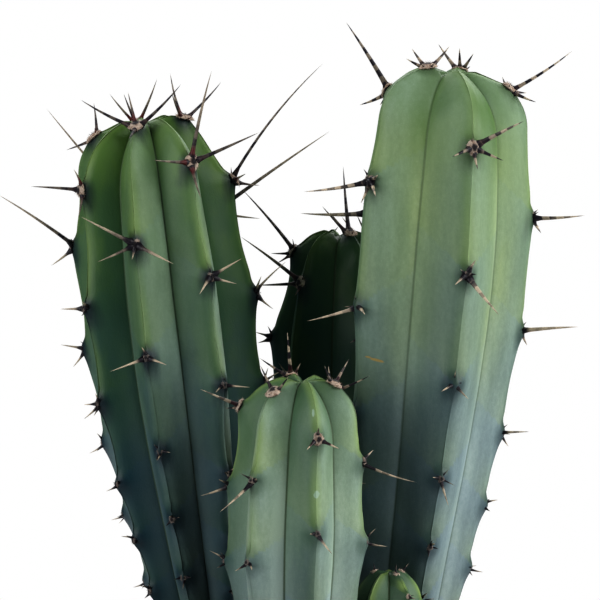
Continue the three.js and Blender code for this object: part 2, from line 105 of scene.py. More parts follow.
# How the skin's colour runs: the slant of its tones across a flank, the depths over which the bloom ages and
# the painted shade at the tip ends, and how softly one flank's bloom, with its painted light and shade, turns
# into the next one's at the crest.
CHEVRON_SLOPE = 0.75
BLOOM_DEPTHS = (40, 150)
TIP_SHADE_DEPTHS = (12, 42)
BLOOM_BLEND = 2.5

# How a spine is formed, and the rule for those that weren't measured.
SPINE_RADIUS = (0.45, 0.8)
THICK_SPINE_LENGTH = 24
SPINE_BEND_FROM = 17
SPINE_BEND = 0.03
SPINE_SUNK = 0.7
YOUNG_SPINE = 19
OLD_SPINE = 4.5
CENTRAL_SPLAY = (20, 45)
RADIAL_SPLAY = (62, 78)
CENTRAL_SHARE = (0.85, 1.3)
RADIAL_SHARE = (0.45, 0.8)
SPINE_CLEARANCE = 1
SOIL_CLEARANCE = 1.5
TRIED_SHARES = (1, 0.6, 0.35)
SHORTEST_SPINE = 3
SHORT_SPINE = (2.4, 5.4)
SHORT_SPLAY = (58, 80)

# A felt pad on a full-grown stem: half its height, half its width and its thickness, each for old and for
# young, and how far it is sunk in.
PAD_TALL = (2.4, 3.0)
PAD_WIDE = (2.0, 2.6)
PAD_THICK = (0.5, 1.0)
PAD_SUNK = 0.5


def rib(turn, areoles, spines=(), bloom=None, top=(1, 1), reach=1, cut=0, flare=0):
    """One rib of a stem.

    turn is its place round the stem in degrees, from the front to the right, and areoles are the depths of
    its first areoles. spines are those that were measured, for its areoles in order, as (clock, splay,
    length): clock is the direction round the areole, 0 up the rib and 90 to the right, and splay the angle
    off straight out. bloom is that of the flank before the rib and of the flank after it, each near the tip
    and further down; besides the wax it carries painted light and shade, higher on flanks that stand in light
    and lower on flanks in shade between the stems. top multiplies it at the very tip, as painted shade where
    the tip turns from the light. reach makes the crest stand out further round the second areole, cut makes
    it sink deeper between the first two, and flare makes the second one's seat flare out further.
    """
    form = {"turn": turn, "areoles": areoles, "spines": spines, "bloom": bloom}
    return SimpleNamespace(**form, top=top, reach=reach, cut=cut, flare=flare)


# The stems. Places are (x, y, z) and depths are measured down the stem from its tip. crest is the radius at
# the rib crests at the shoulder, at the widest and at the foot; taper gives the depths between which it
# falls from the widest to the foot. groove is the groove's radius as a share of the crest's. gap is the
# distance between areoles: low near the foot, high near the tip, growing between two heights above the
# soil. sink is how far a crest sags between areoles, radials how many spines stand round the central one of
# a young areole, stout how long they are beside a tall stem's, and dip how deep the middle of the dome
# lies. fineness gives the columns of the skin from a crest to a groove, and the distance between its rows.
# The ribs' bloom amounts below hold painted light and shade as well as wax.
STEMS = {
    "stem_left": dict(
        foot=(-28, 5), tip=(-54, 8, 358.5), bow=-1.5, crest=(28.5, 33, 15.5), taper=(80, 225), groove=0.64,
        dome=23, radials=3, sink=2, gap=(16, 42, 25, 175), fineness=(14, 1.3),
        ribs=[
            rib(-105, (6, 44, 81, 115.5, 142, 167), reach=1.05, cut=-0.8, spines=[
                [(205, 75, 15), (330, 40, 12)], [(35, 30, 32), (160, 60, 10)], [(70, 25, 8), (180, 65, 8)],
            ], bloom=((0.3, 0.4), (0.15, 0.38))),
            rib(-57, (22.5, 63, 97, 126.5, 147.5), bloom=((0.26, 0.29), (0.03, 0.03)), spines=[
                [(285, 25, 17), (150, 70, 11), (20, 65, 9)], [(260, 40, 8), (60, 60, 6)],
            ]),
            rib(-12, (2.5, 41.5, 80.5, 114, 139, 161), bloom=((0.25, 0.14), (0.5, 0.24)), spines=[
                [(275, 60, 21), (65, 60, 21), (175, 80, 16), (340, 35, 12)],
                [(300, 60, 21), (240, 60, 15), (120, 70, 19), (185, 70, 6)],
                [(250, 55, 14), (110, 65, 10), (355, 50, 5)],
            ]),
            rib(35, (16.5, 56, 94, 126), bloom=((0.22, 0.1), (0.85, 1.0)), spines=[
                [(15, 60, 32), (80, 60, 25), (275, 75, 19), (200, 65, 17)],
                [(70, 55, 12), (240, 65, 13), (125, 65, 9)], [(110, 50, 15), (255, 65, 7)],
            ]),
            rib(88, (2.5, 26, 67, 99.5), bloom=((0.06, 0.02), (0.3, 0.3)), cut=3.4, flare=2.6, spines=[
                [(45, 45, 18), (130, 45, 20), (300, 55, 14)], [(10, 13, 51), (185, 55, 9), (265, 60, 10)],
            ]),
            rib(138, (39.5,), [[(305, 45, 50), (250, 60, 16)]]),
            rib(196, (3.5, 39), spines=[
                [(50, 55, 15), (330, 55, 18), (40, 30, 11)], [(35, 76, 52), (250, 60, 14)],
            ]),
        ],
    ),
    "stem_right": dict(
        foot=(29, 3), tip=(52, 6, 376), bow=3, crest=(29.5, 33.5, 20), taper=(65, 238), groove=0.73,
        dome=20.5, radials=3, sink=1.1, gap=(17, 45, 25, 175), fineness=(18, 1.3),
        ribs=[
            rib(-131, (12, 56.5), spines=[
                [(40, 40, 28), (180, 60, 14), (210, 75, 11)], [(120, 35, 24), (240, 50, 14)],
            ]),
            rib(-56, (1, 41, 85, 122), bloom=((0.48, 0.32), (0.76, 0.32)), spines=[
                [(260, 50, 9), (205, 65, 8), (5, 60, 11)],
                [(215, 35, 23), (115, 75, 14), (150, 70, 11), (75, 75, 8)], [(220, 35, 18), (100, 75, 10)],
            ]),
            rib(16, (25.5, 68.5, 107, 141, 166), bloom=((0.54, 0.28), (0.72, 0.61)), top=(1, 0.4), spines=[
                [(55, 55, 20), (250, 65, 11), (115, 65, 11), (175, 70, 8)],
                [(150, 55, 19), (235, 70, 7), (20, 65, 6)], [(250, 60, 8), (140, 60, 7)],
                [(170, 60, 10), (280, 60, 5)],
            ]),
            rib(87, (6, 50, 90.5, 127.5, 154, 177), bloom=((0.66, 0.66), (0.6, 0.6)), spines=[
                [(180, 20, 25), (205, 80, 11), (140, 75, 8)], [(245, 15, 18), (140, 80, 9)],
                [(290, 15, 20), (140, 80, 8)], [(290, 25, 10), (160, 70, 6)],
            ]),
            rib(159, (2, 40), [[(70, 50, 12), (355, 50, 9), (315, 60, 9)]]),
        ],
    ),
    "stem_front": dict(
        foot=(-2, -37), tip=(0.5, -37, 274.5), bow=-1, crest=(22, 25, 15), taper=(58, 138), groove=0.68,
        dome=18, radials=3, sink=1.8, gap=(15, 33, 5, 95), fineness=(13, 1.1),
        ribs=[
            rib(-97, (11.5, 39, 66), bloom=((0.5, 0.4), (0.33, 0.35)), spines=[
                [(85, 30, 16), (230, 60, 8)], [(170, 45, 10), (70, 55, 5)],
            ]),
            rib(-41, (4, 33, 61), bloom=((0.85, 0.5), (0.95, 0.3)), spines=[
                [(305, 50, 10), (50, 60, 8)], [(190, 55, 16), (80, 60, 5)], [(110, 65, 6), (215, 60, 5)],
            ]),
            rib(17, (18, 49.5), bloom=((0.33, 0.12), (0.74, 0.6)), spines=[
                [(115, 60, 8), (240, 60, 7), (350, 60, 5)], [(155, 60, 9), (270, 60, 4)],
            ]),
            rib(80, (2.5, 29, 56.5), bloom=((0.8, 0.46), (0.6, 0.5)), spines=[
                [(90, 50, 12), (330, 55, 8)], [(190, 35, 19), (60, 60, 6)], [(155, 30, 7), (20, 50, 5)],
            ]),
            rib(139, (7.5, 40), [[(270, 50, 13), (40, 50, 9)]]),
            rib(200, (2, 30), [[(20, 45, 18), (95, 60, 12), (335, 60, 6)]]),
        ],
    ),
    "stem_back": dict(
        foot=(11, 46), tip=(14.7, 53, 312.5), bow=0.5, crest=(19, 25.8, 16), taper=(60, 170), groove=0.67,
        dome=14.5, radials=2, sink=1.8, gap=(17, 38, 20, 140), fineness=(13, 1.4),
        ribs=[
            rib(-96, (9, 41), [[(45, 35, 32), (145, 40, 8), (175, 70, 7)], [(85, 30, 6), (160, 50, 5)]]),
            rib(-46, (19, 55), [[(307, 50, 27), (252, 50, 16), (165, 65, 6)]]),
            rib(29, (1, 36), [[(15, 50, 28), (320, 60, 14), (335, 65, 11)]]),
            rib(85, (3, 42), [[(350, 65, 10), (90, 50, 8)]]),
            rib(145, (5, 30)),
            rib(205, (8, 43)),
        ],
    ),
    "pup_right": dict(
        foot=(30, -30), tip=(30.6, -29.5, 205), bow=0, crest=(13.5, 14, 11), taper=(20, 60), groove=0.66,
        dome=17, radials=2, sink=0.6, stout=0.2, dip=1.1, gap=(12, 17, 5, 50), fineness=(9, 0.9),
        ribs=[
            rib(-108, (1.3,)),
            rib(-36, (14,)),
            rib(36, (0.8, 7.4)),
            rib(108, (1, 14)),
            rib(180, (4,)),
        ],
    ),
    "pup_left": dict(
        foot=(-25, -24), tip=(-26, -24.5, 191), bow=0, crest=(6.2, 7.2, 6), taper=(15, 50), groove=0.72,
        dome=8, radials=1, sink=0.4, stout=0.2, dip=0.8, gap=(12, 14, 5, 45), fineness=(6, 0.9),
        ribs=[
            rib(-92, (4,)),
            rib(-20, (2.5,)),
            rib(52, (6,)),
            rib(124, (3,)),
            rib(196, (5,)),
        ],
    ),
}

# How each stem looks: the bloom on its flanks near its tip and further down, where a rib doesn't give its
# own; how much older than its depth its skin looks, in mm; how strong the lines on its crests and the
# painted shade in the creases of its grooves are, how olive it is, and how dark round its areoles, as darker
# skin and painted shadow; and how many spines an areole has, how banded they are, how stout, how bulbous and
# how red.
Look = namedtuple("Look", "bloom older line crease olive smudge spines bands girth bulb ruby")
LOOKS = {
    "stem_left": Look((0.3, 0.3), 0, 0.42, 0.6, 0.0, 1.0, 4, 0.25, 1.05, 1.0, 1.0),
    "stem_right": Look((0.6, 0.5), 0, 0.3, 0.4, 0.5, 0.5, 5, 1.0, 1.35, 0.7, 0.15),
    "stem_front": Look((0.5, 0.4), 40, 0.7, 0.7, 0.15, 0.15, 3, 1.0, 1.15, 0.5, 0.3),
    "stem_back": Look((0.0, 0.03), 30, 0.3, 0.8, 0.0, 0.8, 4, 0.3, 1.1, 1.0, 0.5),
    "pup_right": Look((0.45, 0.5), 45, 1.0, 0.9, 0.0, 0.2, 4, 0.8, 0.8, 0.4, 0.3),
    "pup_left": Look((0.3, 0.3), 30, 1.0, 0.9, 0.0, 0.2, 4, 0.8, 0.8, 0.4, 0.3),
}

# Old marks in the skin: the stem, the middle (x, z), the half width and half height, the slope, the colour.
TAN = (0.42, 0.3, 0.1, 1)
PALE_WAX = (0.33, 0.44, 0.33, 1)
MARKS = [
    ("stem_right", (26.6, 275.4), (2.3, 0.45), -0.2, TAN),
    ("stem_right", (23.6, 276.3), (0.9, 0.3), -0.1, TAN),
    ("stem_front", (4.4, 264.5), (0.4, 1.2), 0.0, PALE_WAX),
    ("stem_front", (5.5, 237.5), (0.9, 1.2), 0.0, PALE_WAX),
    ("stem_front", (14.0, 271.0), (0.7, 1.1), 0.0, PALE_WAX),
]


def mix(a, b, t):
    return a + (b - a) * t


def rise(a, b, x):
    """0 below a, 1 above b, and a smooth rise between them."""
    t = np.clip((np.asarray(x, float) - a) / (b - a), 0, 1)
    return t * t * (3 - 2 * t)


def draw(n):
    """A fixed draw from 0 to 1 for each number."""
    v = math.sin(n * 12.9898 + 4.1414) * 43758.5453
    return v - math.floor(v)


def unit(v):
    v = np.asarray(v, float)
    return v / np.linalg.norm(v, axis=-1, keepdims=True)


def dent(distance, width):
    """1 at no distance, falling smoothly to nothing over about two widths."""
    return np.exp(-((distance / width) ** 2))


def lattice(cells, seed):
    """A fixed draw from -1 to 1 for each cell of a grid."""
    x, y, z = (cells[..., i].astype(np.int64) for i in range(3))
    n = (x * 374761393 + y * 668265263 + z * 1440662683 + seed * 1274126177) & 0xFFFFFFFF
    n = ((n ^ (n >> 13)) * 1103515245) & 0xFFFFFFFF
    n = ((n ^ (n >> 16)) * 668265263) & 0xFFFFFFFF
    return n / 0x7FFFFFFF - 1


def roughen(points, size, seed):
    """Smooth noise from -1 to 1 at each point, with bumps of the given size."""
    scaled = np.asarray(points, float) / size
    cell = np.floor(scaled)
    part = scaled - cell
    part = part * part * (3 - 2 * part)
    total = 0
    for corner in np.ndindex(2, 2, 2):
        total = total + np.abs(1 - np.array(corner) - part).prod(-1) * lattice(cell + corner, seed)
    return total


class Stem:
    """One stem's form: its axis, its ribs in order round it, and the place of any point of its skin."""

    def __init__(self, name, foot, tip, ribs, stout=1, dip=APEX_DIP, **form):
        vars(self).update(form, name=name, ribs=ribs, stout=stout, dip=dip)
        self.foot_point = np.array([*foot, SOIL_LEVEL], float)
        self.tip_point = np.array(tip, float)
        self.length = float(np.linalg.norm(self.tip_point - self.foot_point))
        self.up = unit(self.tip_point - self.foot_point)
        self.right = unit(-np.cross((0, -1, 0), self.up))
        self.front = unit(np.cross(self.right, self.up))
        for rib, following in zip(ribs, ribs[1:] + ribs[:1]):
            rib.after = rib.turn + (following.turn - rib.turn + 360) % 360 / 2
            following.before = rib.after - 360 if rib.after > following.turn else rib.after
            rib.depths = self.areole_depths(rib)

    def gap_below(self, depth):
        low, high, start, end = self.gap
        return float(mix(low, high, rise(start, end, self.length - depth - high / 3)))

    def areole_depths(self, rib):
        depths = list(rib.areoles)
        following = depths[-1] + self.gap_below(depths[-1])
        while following < self.length - LOWEST_AREOLE:
            depths.append(following)
            following += self.gap_below(following)
        return np.array(depths)

    def axis(self, depth):
        share = np.asarray(1 - np.asarray(depth, float) / self.length)
        bowed = self.bow * 4 * np.clip(share, 0, 1) * (1 - np.clip(share, 0, 1))
        straight = self.foot_point + (self.tip_point - self.foot_point) * share[..., None]
        return straight + self.right * bowed[..., None]

    def outward(self, turn):
        angle = math.radians(turn)
        return self.front * math.cos(angle) + self.right * math.sin(angle)

    def girth(self, depth):
        """The crest's radius with the dome left off."""
        shoulder, widest, foot = self.crest
        upper = mix(shoulder, widest, rise(self.dome * 0.6, self.dome * 3, depth))
        radius = mix(upper, foot, rise(*self.taper, depth))
        buried = np.maximum(0, np.asarray(depth, float) - self.length) / ROOT_LENGTH
        return radius * (1 - ROOT_NARROWING * buried**2)

    @staticmethod
    def domed(share):
        return np.sqrt(1 - (1 - np.clip(share, 0, 1)) ** DOME_POWER)

    @staticmethod
    def place_between(rib, depth):
        """How many areoles are above a depth, its share of its gap, and how fully that gap sags."""
        above = np.searchsorted(rib.depths, depth, side="right")
        edges = np.concatenate([[0], rib.depths, rib.depths[-1:]])
        gap = edges[above + 1] - edges[above]
        share = np.where(gap > 0, (depth - edges[above]) / np.where(gap > 0, gap, 1), 0)
        return above, np.clip(share, 0, 1), np.minimum(1, gap / FULL_SAG_GAP)

    def sag(self, rib, depth):
        """How far the crest sinks between one areole and the next."""
        above, share, full = self.place_between(rib, depth)
        sunk = self.sink * full * np.sin(np.pi * share**SAG_SKEW)
        return sunk + np.where(above == 1, rib.cut, 0) * np.sin(np.pi * share**CUT_SKEW)

    def seat_flare(self, rib, depth):
        """How far the crest beside an areole lies below the areole's seat."""
        above, share, full = self.place_between(rib, depth)
        flare = SEAT_FLARE * full + np.where(above == 1, rib.flare, 0)
        return np.where(above > 0, flare * np.sin(np.pi * share**SEAT_SKEW), 0)

    def rib_point(self, rib, depth, sunk):
        """A point over the middle of a rib, sunk below its full reach."""
        stretch = rise(self.dome, self.dome * 2, depth) * (1 - rise(*REACH_FADE, depth))
        radius = mix(1, rib.reach, stretch) * self.girth(depth) * self.domed(depth / self.dome) - sunk
        return self.axis(depth) + self.outward(rib.turn) * np.asarray(radius)[..., None]

    def crest_point(self, rib, depth):
        depth = np.asarray(depth, float)
        return self.rib_point(rib, depth, self.sag(rib, depth))

    def groove_point(self, turn, depth):
        sunk = depth + self.dip * (1 - rise(0, self.dome * 1.5, depth))
        radius = self.girth(depth) * self.groove * self.domed(np.asarray(depth) / (self.dome * GROOVE_DOME))
        return self.axis(sunk) + self.outward(turn) * np.asarray(radius)[..., None]

    def areole_frame(self, rib, depth):
        """The areole's point, straight out of it, up the rib and to the right."""
        span = min(SEAT_SPAN, depth * 0.5)
        ends = np.array([depth - span, depth + span])
        upper, lower = self.rib_point(rib, ends, self.seat_flare(rib, ends))
        along = unit(upper - lower)
        right = unit(np.cross(along, self.outward(rib.turn)))
        return self.crest_point(rib, depth), unit(np.cross(right, along)), along, right

    def holds(self, point, clearance):
        """Whether a point is in this stem or nearer to it than the clearance."""
        depth = float(np.dot(self.tip_point - point, self.up))
        if depth < -clearance or depth > self.length + ROOT_LENGTH:
            return False
        reach = self.girth(depth) * self.domed((depth + clearance) / self.dome)
        return float(np.linalg.norm(self.axis(depth) - point)) < reach + clearance


STEM_FORMS = [Stem(name, **form) for name, form in STEMS.items()]


class Areole:
    """Where spines and wool grow: its frame on the rib, its age from 0 at the tip, and its spines."""

    def __init__(self, stem, rib_index, index):
        rib = stem.ribs[rib_index]
        depth = float(rib.depths[index])
        self.stem = stem
        self.age = float(np.clip(depth / stem.length, 0, 1))
        self.size = stem.stout * mix(0.55, 1, stem.crest[1] / FULL_GROWN_RADIUS)
        self.point, self.out, self.along, self.right = stem.areole_frame(rib, depth)
        self.seed = len(stem.name) * 7 + stem.length + rib_index * 31 + index * 5.7
        measured = rib.spines[index] if index < len(rib.spines) else None
        self.spines = measured or self.ruled_spines()

    def ruled_spines(self):
        """One central spine out and a little up or down, and radials round it, shorter the older they are."""
        seed = self.seed
        length = mix(YOUNG_SPINE, OLD_SPINE, float(rise(0.02, 0.65, self.age))) * self.size
        radials = self.stem.radials if self.age < 0.55 else max(1, self.stem.radials - 1)
        up_or_down = 8 if draw(seed + 1) < 0.5 else 172
        central = mix(*CENTRAL_SPLAY, draw(seed + 2))
        spines = [(up_or_down, central, length * mix(*CENTRAL_SHARE, draw(seed + 3)))]
        for i in range(radials):
            clock = draw(seed) * 120 + (360 / radials) * i + 24 * draw(seed + 4 + i)
            splay = mix(*RADIAL_SPLAY, draw(seed + 9 + i))
            spines.append((clock, splay, length * mix(*RADIAL_SHARE, draw(seed + 14 + i))))
        return spines

    def direction(self, clock, splay):
        """Which way a spine points, and the way it leans off straight out."""
        angle, tilt = math.radians(clock), math.radians(splay)
        lean = self.along * math.cos(angle) + self.right * math.sin(angle)
        return self.out * math.cos(tilt) + lean * math.sin(tilt), lean

    def fits(self, clock, splay, length):
        """Whether a spine keeps clear of the other stems and of the soil."""
        reach = self.direction(clock, splay)[0] * length
        others = [other for other in STEM_FORMS if other is not self.stem]
        for share in np.arange(1, 9) / 8:
            point = self.point + reach * share
            if point[2] < SOIL_LEVEL + SOIL_HEAP + SOIL_CLEARANCE:
                return False
            if any(other.holds(point, SPINE_CLEARANCE) for other in others):
                return False
        return True


def all_areoles():
    return [
        Areole(stem, rib_index, index)
        for stem in STEM_FORMS
        for rib_index, rib in enumerate(stem.ribs)
        for index in range(len(rib.depths))
    ]


def is_vector(value):
    return isinstance(value, tuple) or (isinstance(value, Value) and value.socket.type == "VECTOR")


class Value:
    """What a node puts out. Arithmetic on it adds the nodes that work it out."""

    def __init__(self, nodes, socket):
        self.nodes, self.socket = nodes, socket

    def __getitem__(self, name):
        """Another output of the same node."""
        return Value(self.nodes, self.socket.node.outputs[name])

    def __add__(self, other):
        return self.nodes.math("ADD", self, other)

    def __sub__(self, other):
        return self.nodes.math("SUBTRACT", self, other)

    def __rsub__(self, other):
        return self.nodes.math("SUBTRACT", other, self)

    def __mul__(self, other):
        return self.nodes.math("MULTIPLY", self, other)

    def __truediv__(self, other):
        return self.nodes.math("DIVIDE", self, other)

    def __rtruediv__(self, other):
        return self.nodes.math("DIVIDE", other, self)

    def __pow__(self, other):
        return self.nodes.math("POWER", self, other)

    def clamped(self):
        self.socket.node.use_clamp = True
        return self

    def rise(self, start, end, low=0.0, high=1.0):
        """low where the value is under start, high over end, and a smooth rise between them."""
        feeds = {"Value": self, "From Min": start, "From Max": end, "To Min": low, "To Max": high}
        return self.nodes.add("ShaderNodeMapRange", feeds, "Result", interpolation_type="SMOOTHSTEP")


class Nodes:
    """Adds nodes to a tree and links them, each by one plain call."""

    def __init__(self, tree):
        self.tree = tree

    def add(self, kind, feeds=None, out=0, **settings):
        """Adds a node with its settings, feeds its inputs and gives one of its outputs."""
        node = self.tree.nodes.new(kind)
        for key, value in settings.items():
            setattr(node, key, value)
        for key, value in (feeds or {}).items():
            self.feed(node.inputs[key], value)
        return Value(self, node.outputs[out])

    def feed(self, socket, value):
        if isinstance(value, Value):
            self.tree.links.new(value.socket, socket)
        else:
            socket.default_value = value

    def math(self, operation, a, b=0.5):
        if not is_vector(a):
            return self.add("ShaderNodeMath", {0: a, 1: b}, operation=operation)
        if operation == "MULTIPLY" and not is_vector(b):
            return self.add("ShaderNodeVectorMath", {0: a, "Scale": b}, operation="SCALE")
        return self.add("ShaderNodeVectorMath", {0: a, 1: b}, operation=operation)

    def parts(self, vector):
        return self.add("ShaderNodeSeparateXYZ", {0: vector})

    def blend(self, factor, a, b, kind="MIX"):
        return self.add("ShaderNodeMix", {0: factor, 6: a, 7: b}, 2, data_type="RGBA", blend_type=kind)

    def tint(self, color, by):
        return self.blend(1.0, color, (*by, 1), "MULTIPLY")

    def noise(self, vector, size, detail=2.0, roughness=0.5, stretch=None):
        """Noise from 0 to 1 with patches of the given size in millimetres, stretched along Z if asked."""
        if stretch:
            vector = vector * (1, 1, 1 / stretch)
        feeds = {"Vector": vector, "Scale": 1 / MM / size, "Detail": detail, "Roughness": roughness}
        return self.add("ShaderNodeTexNoise", feeds, "Fac")

    def place_group(self, tree, feeds):
        return self.add("ShaderNodeGroup", feeds, node_tree=tree)

    def object_place(self):
        return self.add("ShaderNodeTexCoord", out="Object")

    def read(self, name):
        """A number that is stored at the points of a piece, for its material."""
        return self.add("ShaderNodeAttribute", out="Fac", attribute_name=name)

    def recall(self, name, kind="FLOAT"):
        """A number or vector that is stored at the points of a piece, for geometry nodes."""
        return self.add("GeometryNodeInputNamedAttribute", {"Name": name}, "Attribute", data_type=kind)

    def store(self, geometry, name, value, **settings):
        feeds = {"Geometry": geometry, "Name": name, "Value": value}
        return self.add("GeometryNodeStoreNamedAttribute", feeds, **settings)

    def position(self):
        return self.add("GeometryNodeInputPosition")

    def random(self, low, high, seed=0):
        """A fixed draw for each point, a number or a vector as its ends are."""
        kind = "FunctionNodeRandomValue"
        if is_vector(low):
            return self.add(kind, {0: low, 1: high, "Seed": seed}, data_type="FLOAT_VECTOR")
        return self.add(kind, {2: low, 3: high, "Seed": seed}, 1, data_type="FLOAT")

    def rotation(self, euler):
        return self.add("FunctionNodeEulerToRotation", {0: euler})

    def scatter(self, given):
        """Points spread over the given faces, to the given density and seed."""
        feeds = {"Mesh": given["Geometry"], "Density": given["Density"], "Seed": given["Seed"]}
        return self.add("GeometryNodeDistributePointsOnFaces", feeds)

    def instances(self, points, instance, **feeds):
        feeds = {"Points": points, "Instance": instance, **feeds}
        return self.add("GeometryNodeInstanceOnPoints", feeds)

    def moved(self, geometry, place):
        return self.add("GeometryNodeSetPosition", {"Geometry": geometry, "Position": place})

    def join(self, *geometries):
        joined = self.add("GeometryNodeJoinGeometry")
        for geometry in geometries:
            self.feed(joined.socket.node.inputs[0], geometry)
        return joined

    def realized(self, geometry):
        return self.add("GeometryNodeRealizeInstances", {"Geometry": geometry})

    def finish(self, geometry, material):
        """Ends a tree of geometry nodes in a plain mesh with its material."""
        feeds = {"Geometry": self.realized(geometry), "Material": material}
        return self.give({"Geometry": self.add("GeometryNodeSetMaterial", feeds)})

    def give(self, values):
        """Gives a group its named outputs, and returns its finished tree."""
        for name, value in values.items():
            kind = OUTPUT_KINDS[value.socket.type]
            self.tree.interface.new_socket(name=name, in_out="OUTPUT", socket_type="NodeSocket" + kind)
        outputs = self.tree.nodes.new("NodeGroupOutput")
        for name, value in values.items():
            self.feed(outputs.inputs[name], value)
        return self.tree


OUTPUT_KINDS = {"VALUE": "Float", "RGBA": "Color", "GEOMETRY": "Geometry"}


def input_kind(value):
    """The kind of a group's input for its default value, or for a kind given as a word."""
    if isinstance(value, tuple):
        return "Color" if len(value) == 4 else "Vector"
    return value if isinstance(value, str) else {int: "Int", float: "Float"}[type(value)]


def new_group(name, inputs, kind="ShaderNodeTree"):
    """A node group with named inputs: its nodes, and what its inputs give."""
    tree = bpy.data.node_groups.new(name, kind)
    for label, value in inputs.items():
        socket_type = "NodeSocket" + input_kind(value)
        socket = tree.interface.new_socket(name=label, in_out="INPUT", socket_type=socket_type)
        if not isinstance(value, str):
            socket.default_value = value
    nodes = Nodes(tree)
    return nodes, nodes.add("NodeGroupInput")


def new_growth(name, inputs):
    """A tree of geometry nodes that makes a piece from a base mesh."""
    return new_group(name, {"Geometry": "Geometry", **inputs, "Material": "Material"}, "GeometryNodeTree")


def rgba(color):
    return (*color, 1.0)


class Finish(Nodes):
    """A material with its Principled shader, and the nodes that feed it."""

    def __init__(self, name, roughness=0.6):
        self.material = bpy.data.materials.new(name)
        self.material.use_nodes = True
        super().__init__(self.material.node_tree)
        self.shader = self.tree.nodes["Principled BSDF"].inputs
        self.shader["Roughness"].default_value = roughness

    def done(self, color, height, relief):
        """Feeds the colour, and a height in 0 to 1 as a bump of that many mm, and gives the material."""
        self.feed(self.shader["Base Color"], color)
        feeds = {"Height": height, "Distance": relief * MM, "Strength": 1.0}
        self.feed(self.shader["Normal"], self.add("ShaderNodeBump", feeds))
        return self.material


def mottle_group():
    """Patches and specks on a surface, the same effect at each material's own sizes."""
    inputs = {"Vector": "Vector", "Patch Size": 12.0, "Speck Size": 0.8, "Stretch": 1.0}
    nodes, given = new_group("mottle", inputs)
    place, speck_size = given["Vector"], given["Speck Size"]
    squash = nodes.add("ShaderNodeCombineXYZ", {0: 1.0, 1: 1.0, 2: 1.0 / given["Stretch"]})
    patches = nodes.noise(place * squash, given["Patch Size"], 4.0)
    cells = nodes.add("ShaderNodeTexVoronoi", {"Vector": place, "Scale": 1 / MM / speck_size}, "Distance")
    grain = nodes.noise(place, speck_size, 3.0)
    specks = cells.rise(0.12, 0.3, 1, 0)
    return nodes.give({"Patches": patches.rise(0.3, 0.7), "Specks": specks, "Grain": grain})


def mottled(nodes, place, patch_size, speck_size, stretch=1.0):
    """The patches, the specks and the grain of a surface."""
    feeds = {"Vector": place, "Patch Size": patch_size, "Speck Size": speck_size, "Stretch": stretch}
    given = nodes.place_group(bpy.data.node_groups.get("mottle") or mottle_group(), feeds)
    return given["Patches"], given["Specks"], given["Grain"]


def link(name, data):
    """A new object in the scene."""
    thing = bpy.data.objects.new(name, data)
    bpy.context.scene.collection.objects.link(thing)
    return thing


def new_mesh(name, points, faces, edges=()):
    """A smooth mesh in metres from points in millimetres."""
    mesh = bpy.data.meshes.new(name)
    mesh.from_pydata((np.asarray(points) * MM).tolist(), edges, faces)
    mesh.polygons.foreach_set("use_smooth", [True] * len(mesh.polygons))
    return mesh


def add_attribute(mesh, name, values):
    """Stores a number or a vector at each point."""
    values = np.asarray(values, np.float32)
    kind, key = ("FLOAT_VECTOR", "vector") if values.ndim > 1 else ("FLOAT", "value")
    mesh.attributes.new(name, kind, "POINT").data.foreach_set(key, values.ravel())


def add_piece(name, mesh, material=None, replaces=()):
    """Links a finished mesh as a piece that moves with the model."""
    piece = link(name, mesh)
    if material:
        mesh.materials.append(material)
    if replaces:
        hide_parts(*replaces)
    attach(piece, BODY)
    return piece


def grow(mesh, tree, values):
    """The plain mesh that a tree of geometry nodes makes from a base mesh."""
    base = link("base", mesh)
    modifier = base.modifiers.new("grow", "NODES")
    modifier.node_group = tree
    for item in tree.interface.items_tree:
        if item.item_type == "SOCKET" and item.in_out == "INPUT" and item.name in values:
            modifier[item.identifier] = values[item.name]
    depsgraph = bpy.context.evaluated_depsgraph_get()
    evaluated = base.evaluated_get(depsgraph)
    made = bpy.data.meshes.new_from_object(evaluated, preserve_all_data_layers=True, depsgraph=depsgraph)
    bpy.data.objects.remove(base)
    if not made.polygons:
        raise RuntimeError(f"{tree.name} made nothing")
    return made


def ring_turns(sides):
    """The cosines and sines of a ring of points."""
    turns = 2 * np.pi * np.arange(sides) / sides
    return np.cos(turns), np.sin(turns)


def stack_grid(rows, columns):
    """Faces of a closed body: a ring of columns, rows from pole to pole, and then the two pole points."""
    faces = []
    poles = rows * columns
    for i in range(columns):
        j = (i + 1) % columns
        faces.append((poles, i, j))
        for start in range(0, poles - columns, columns):
            faces.append((start + i, start + columns + i, start + columns + j, start + j))
        faces.append((poles + 1, poles - columns + j, poles - columns + i))
    return faces


def paint(name, description, default):
    return FloatVectorProperty(name=name, description=description, subtype="COLOR", default=default)


def number(name, description, default, **kind):
    return FloatProperty(name=name, description=description, default=default, **kind)


def count(name, description, default, least):
    return IntProperty(name=name, description=description, default=default, min=least)


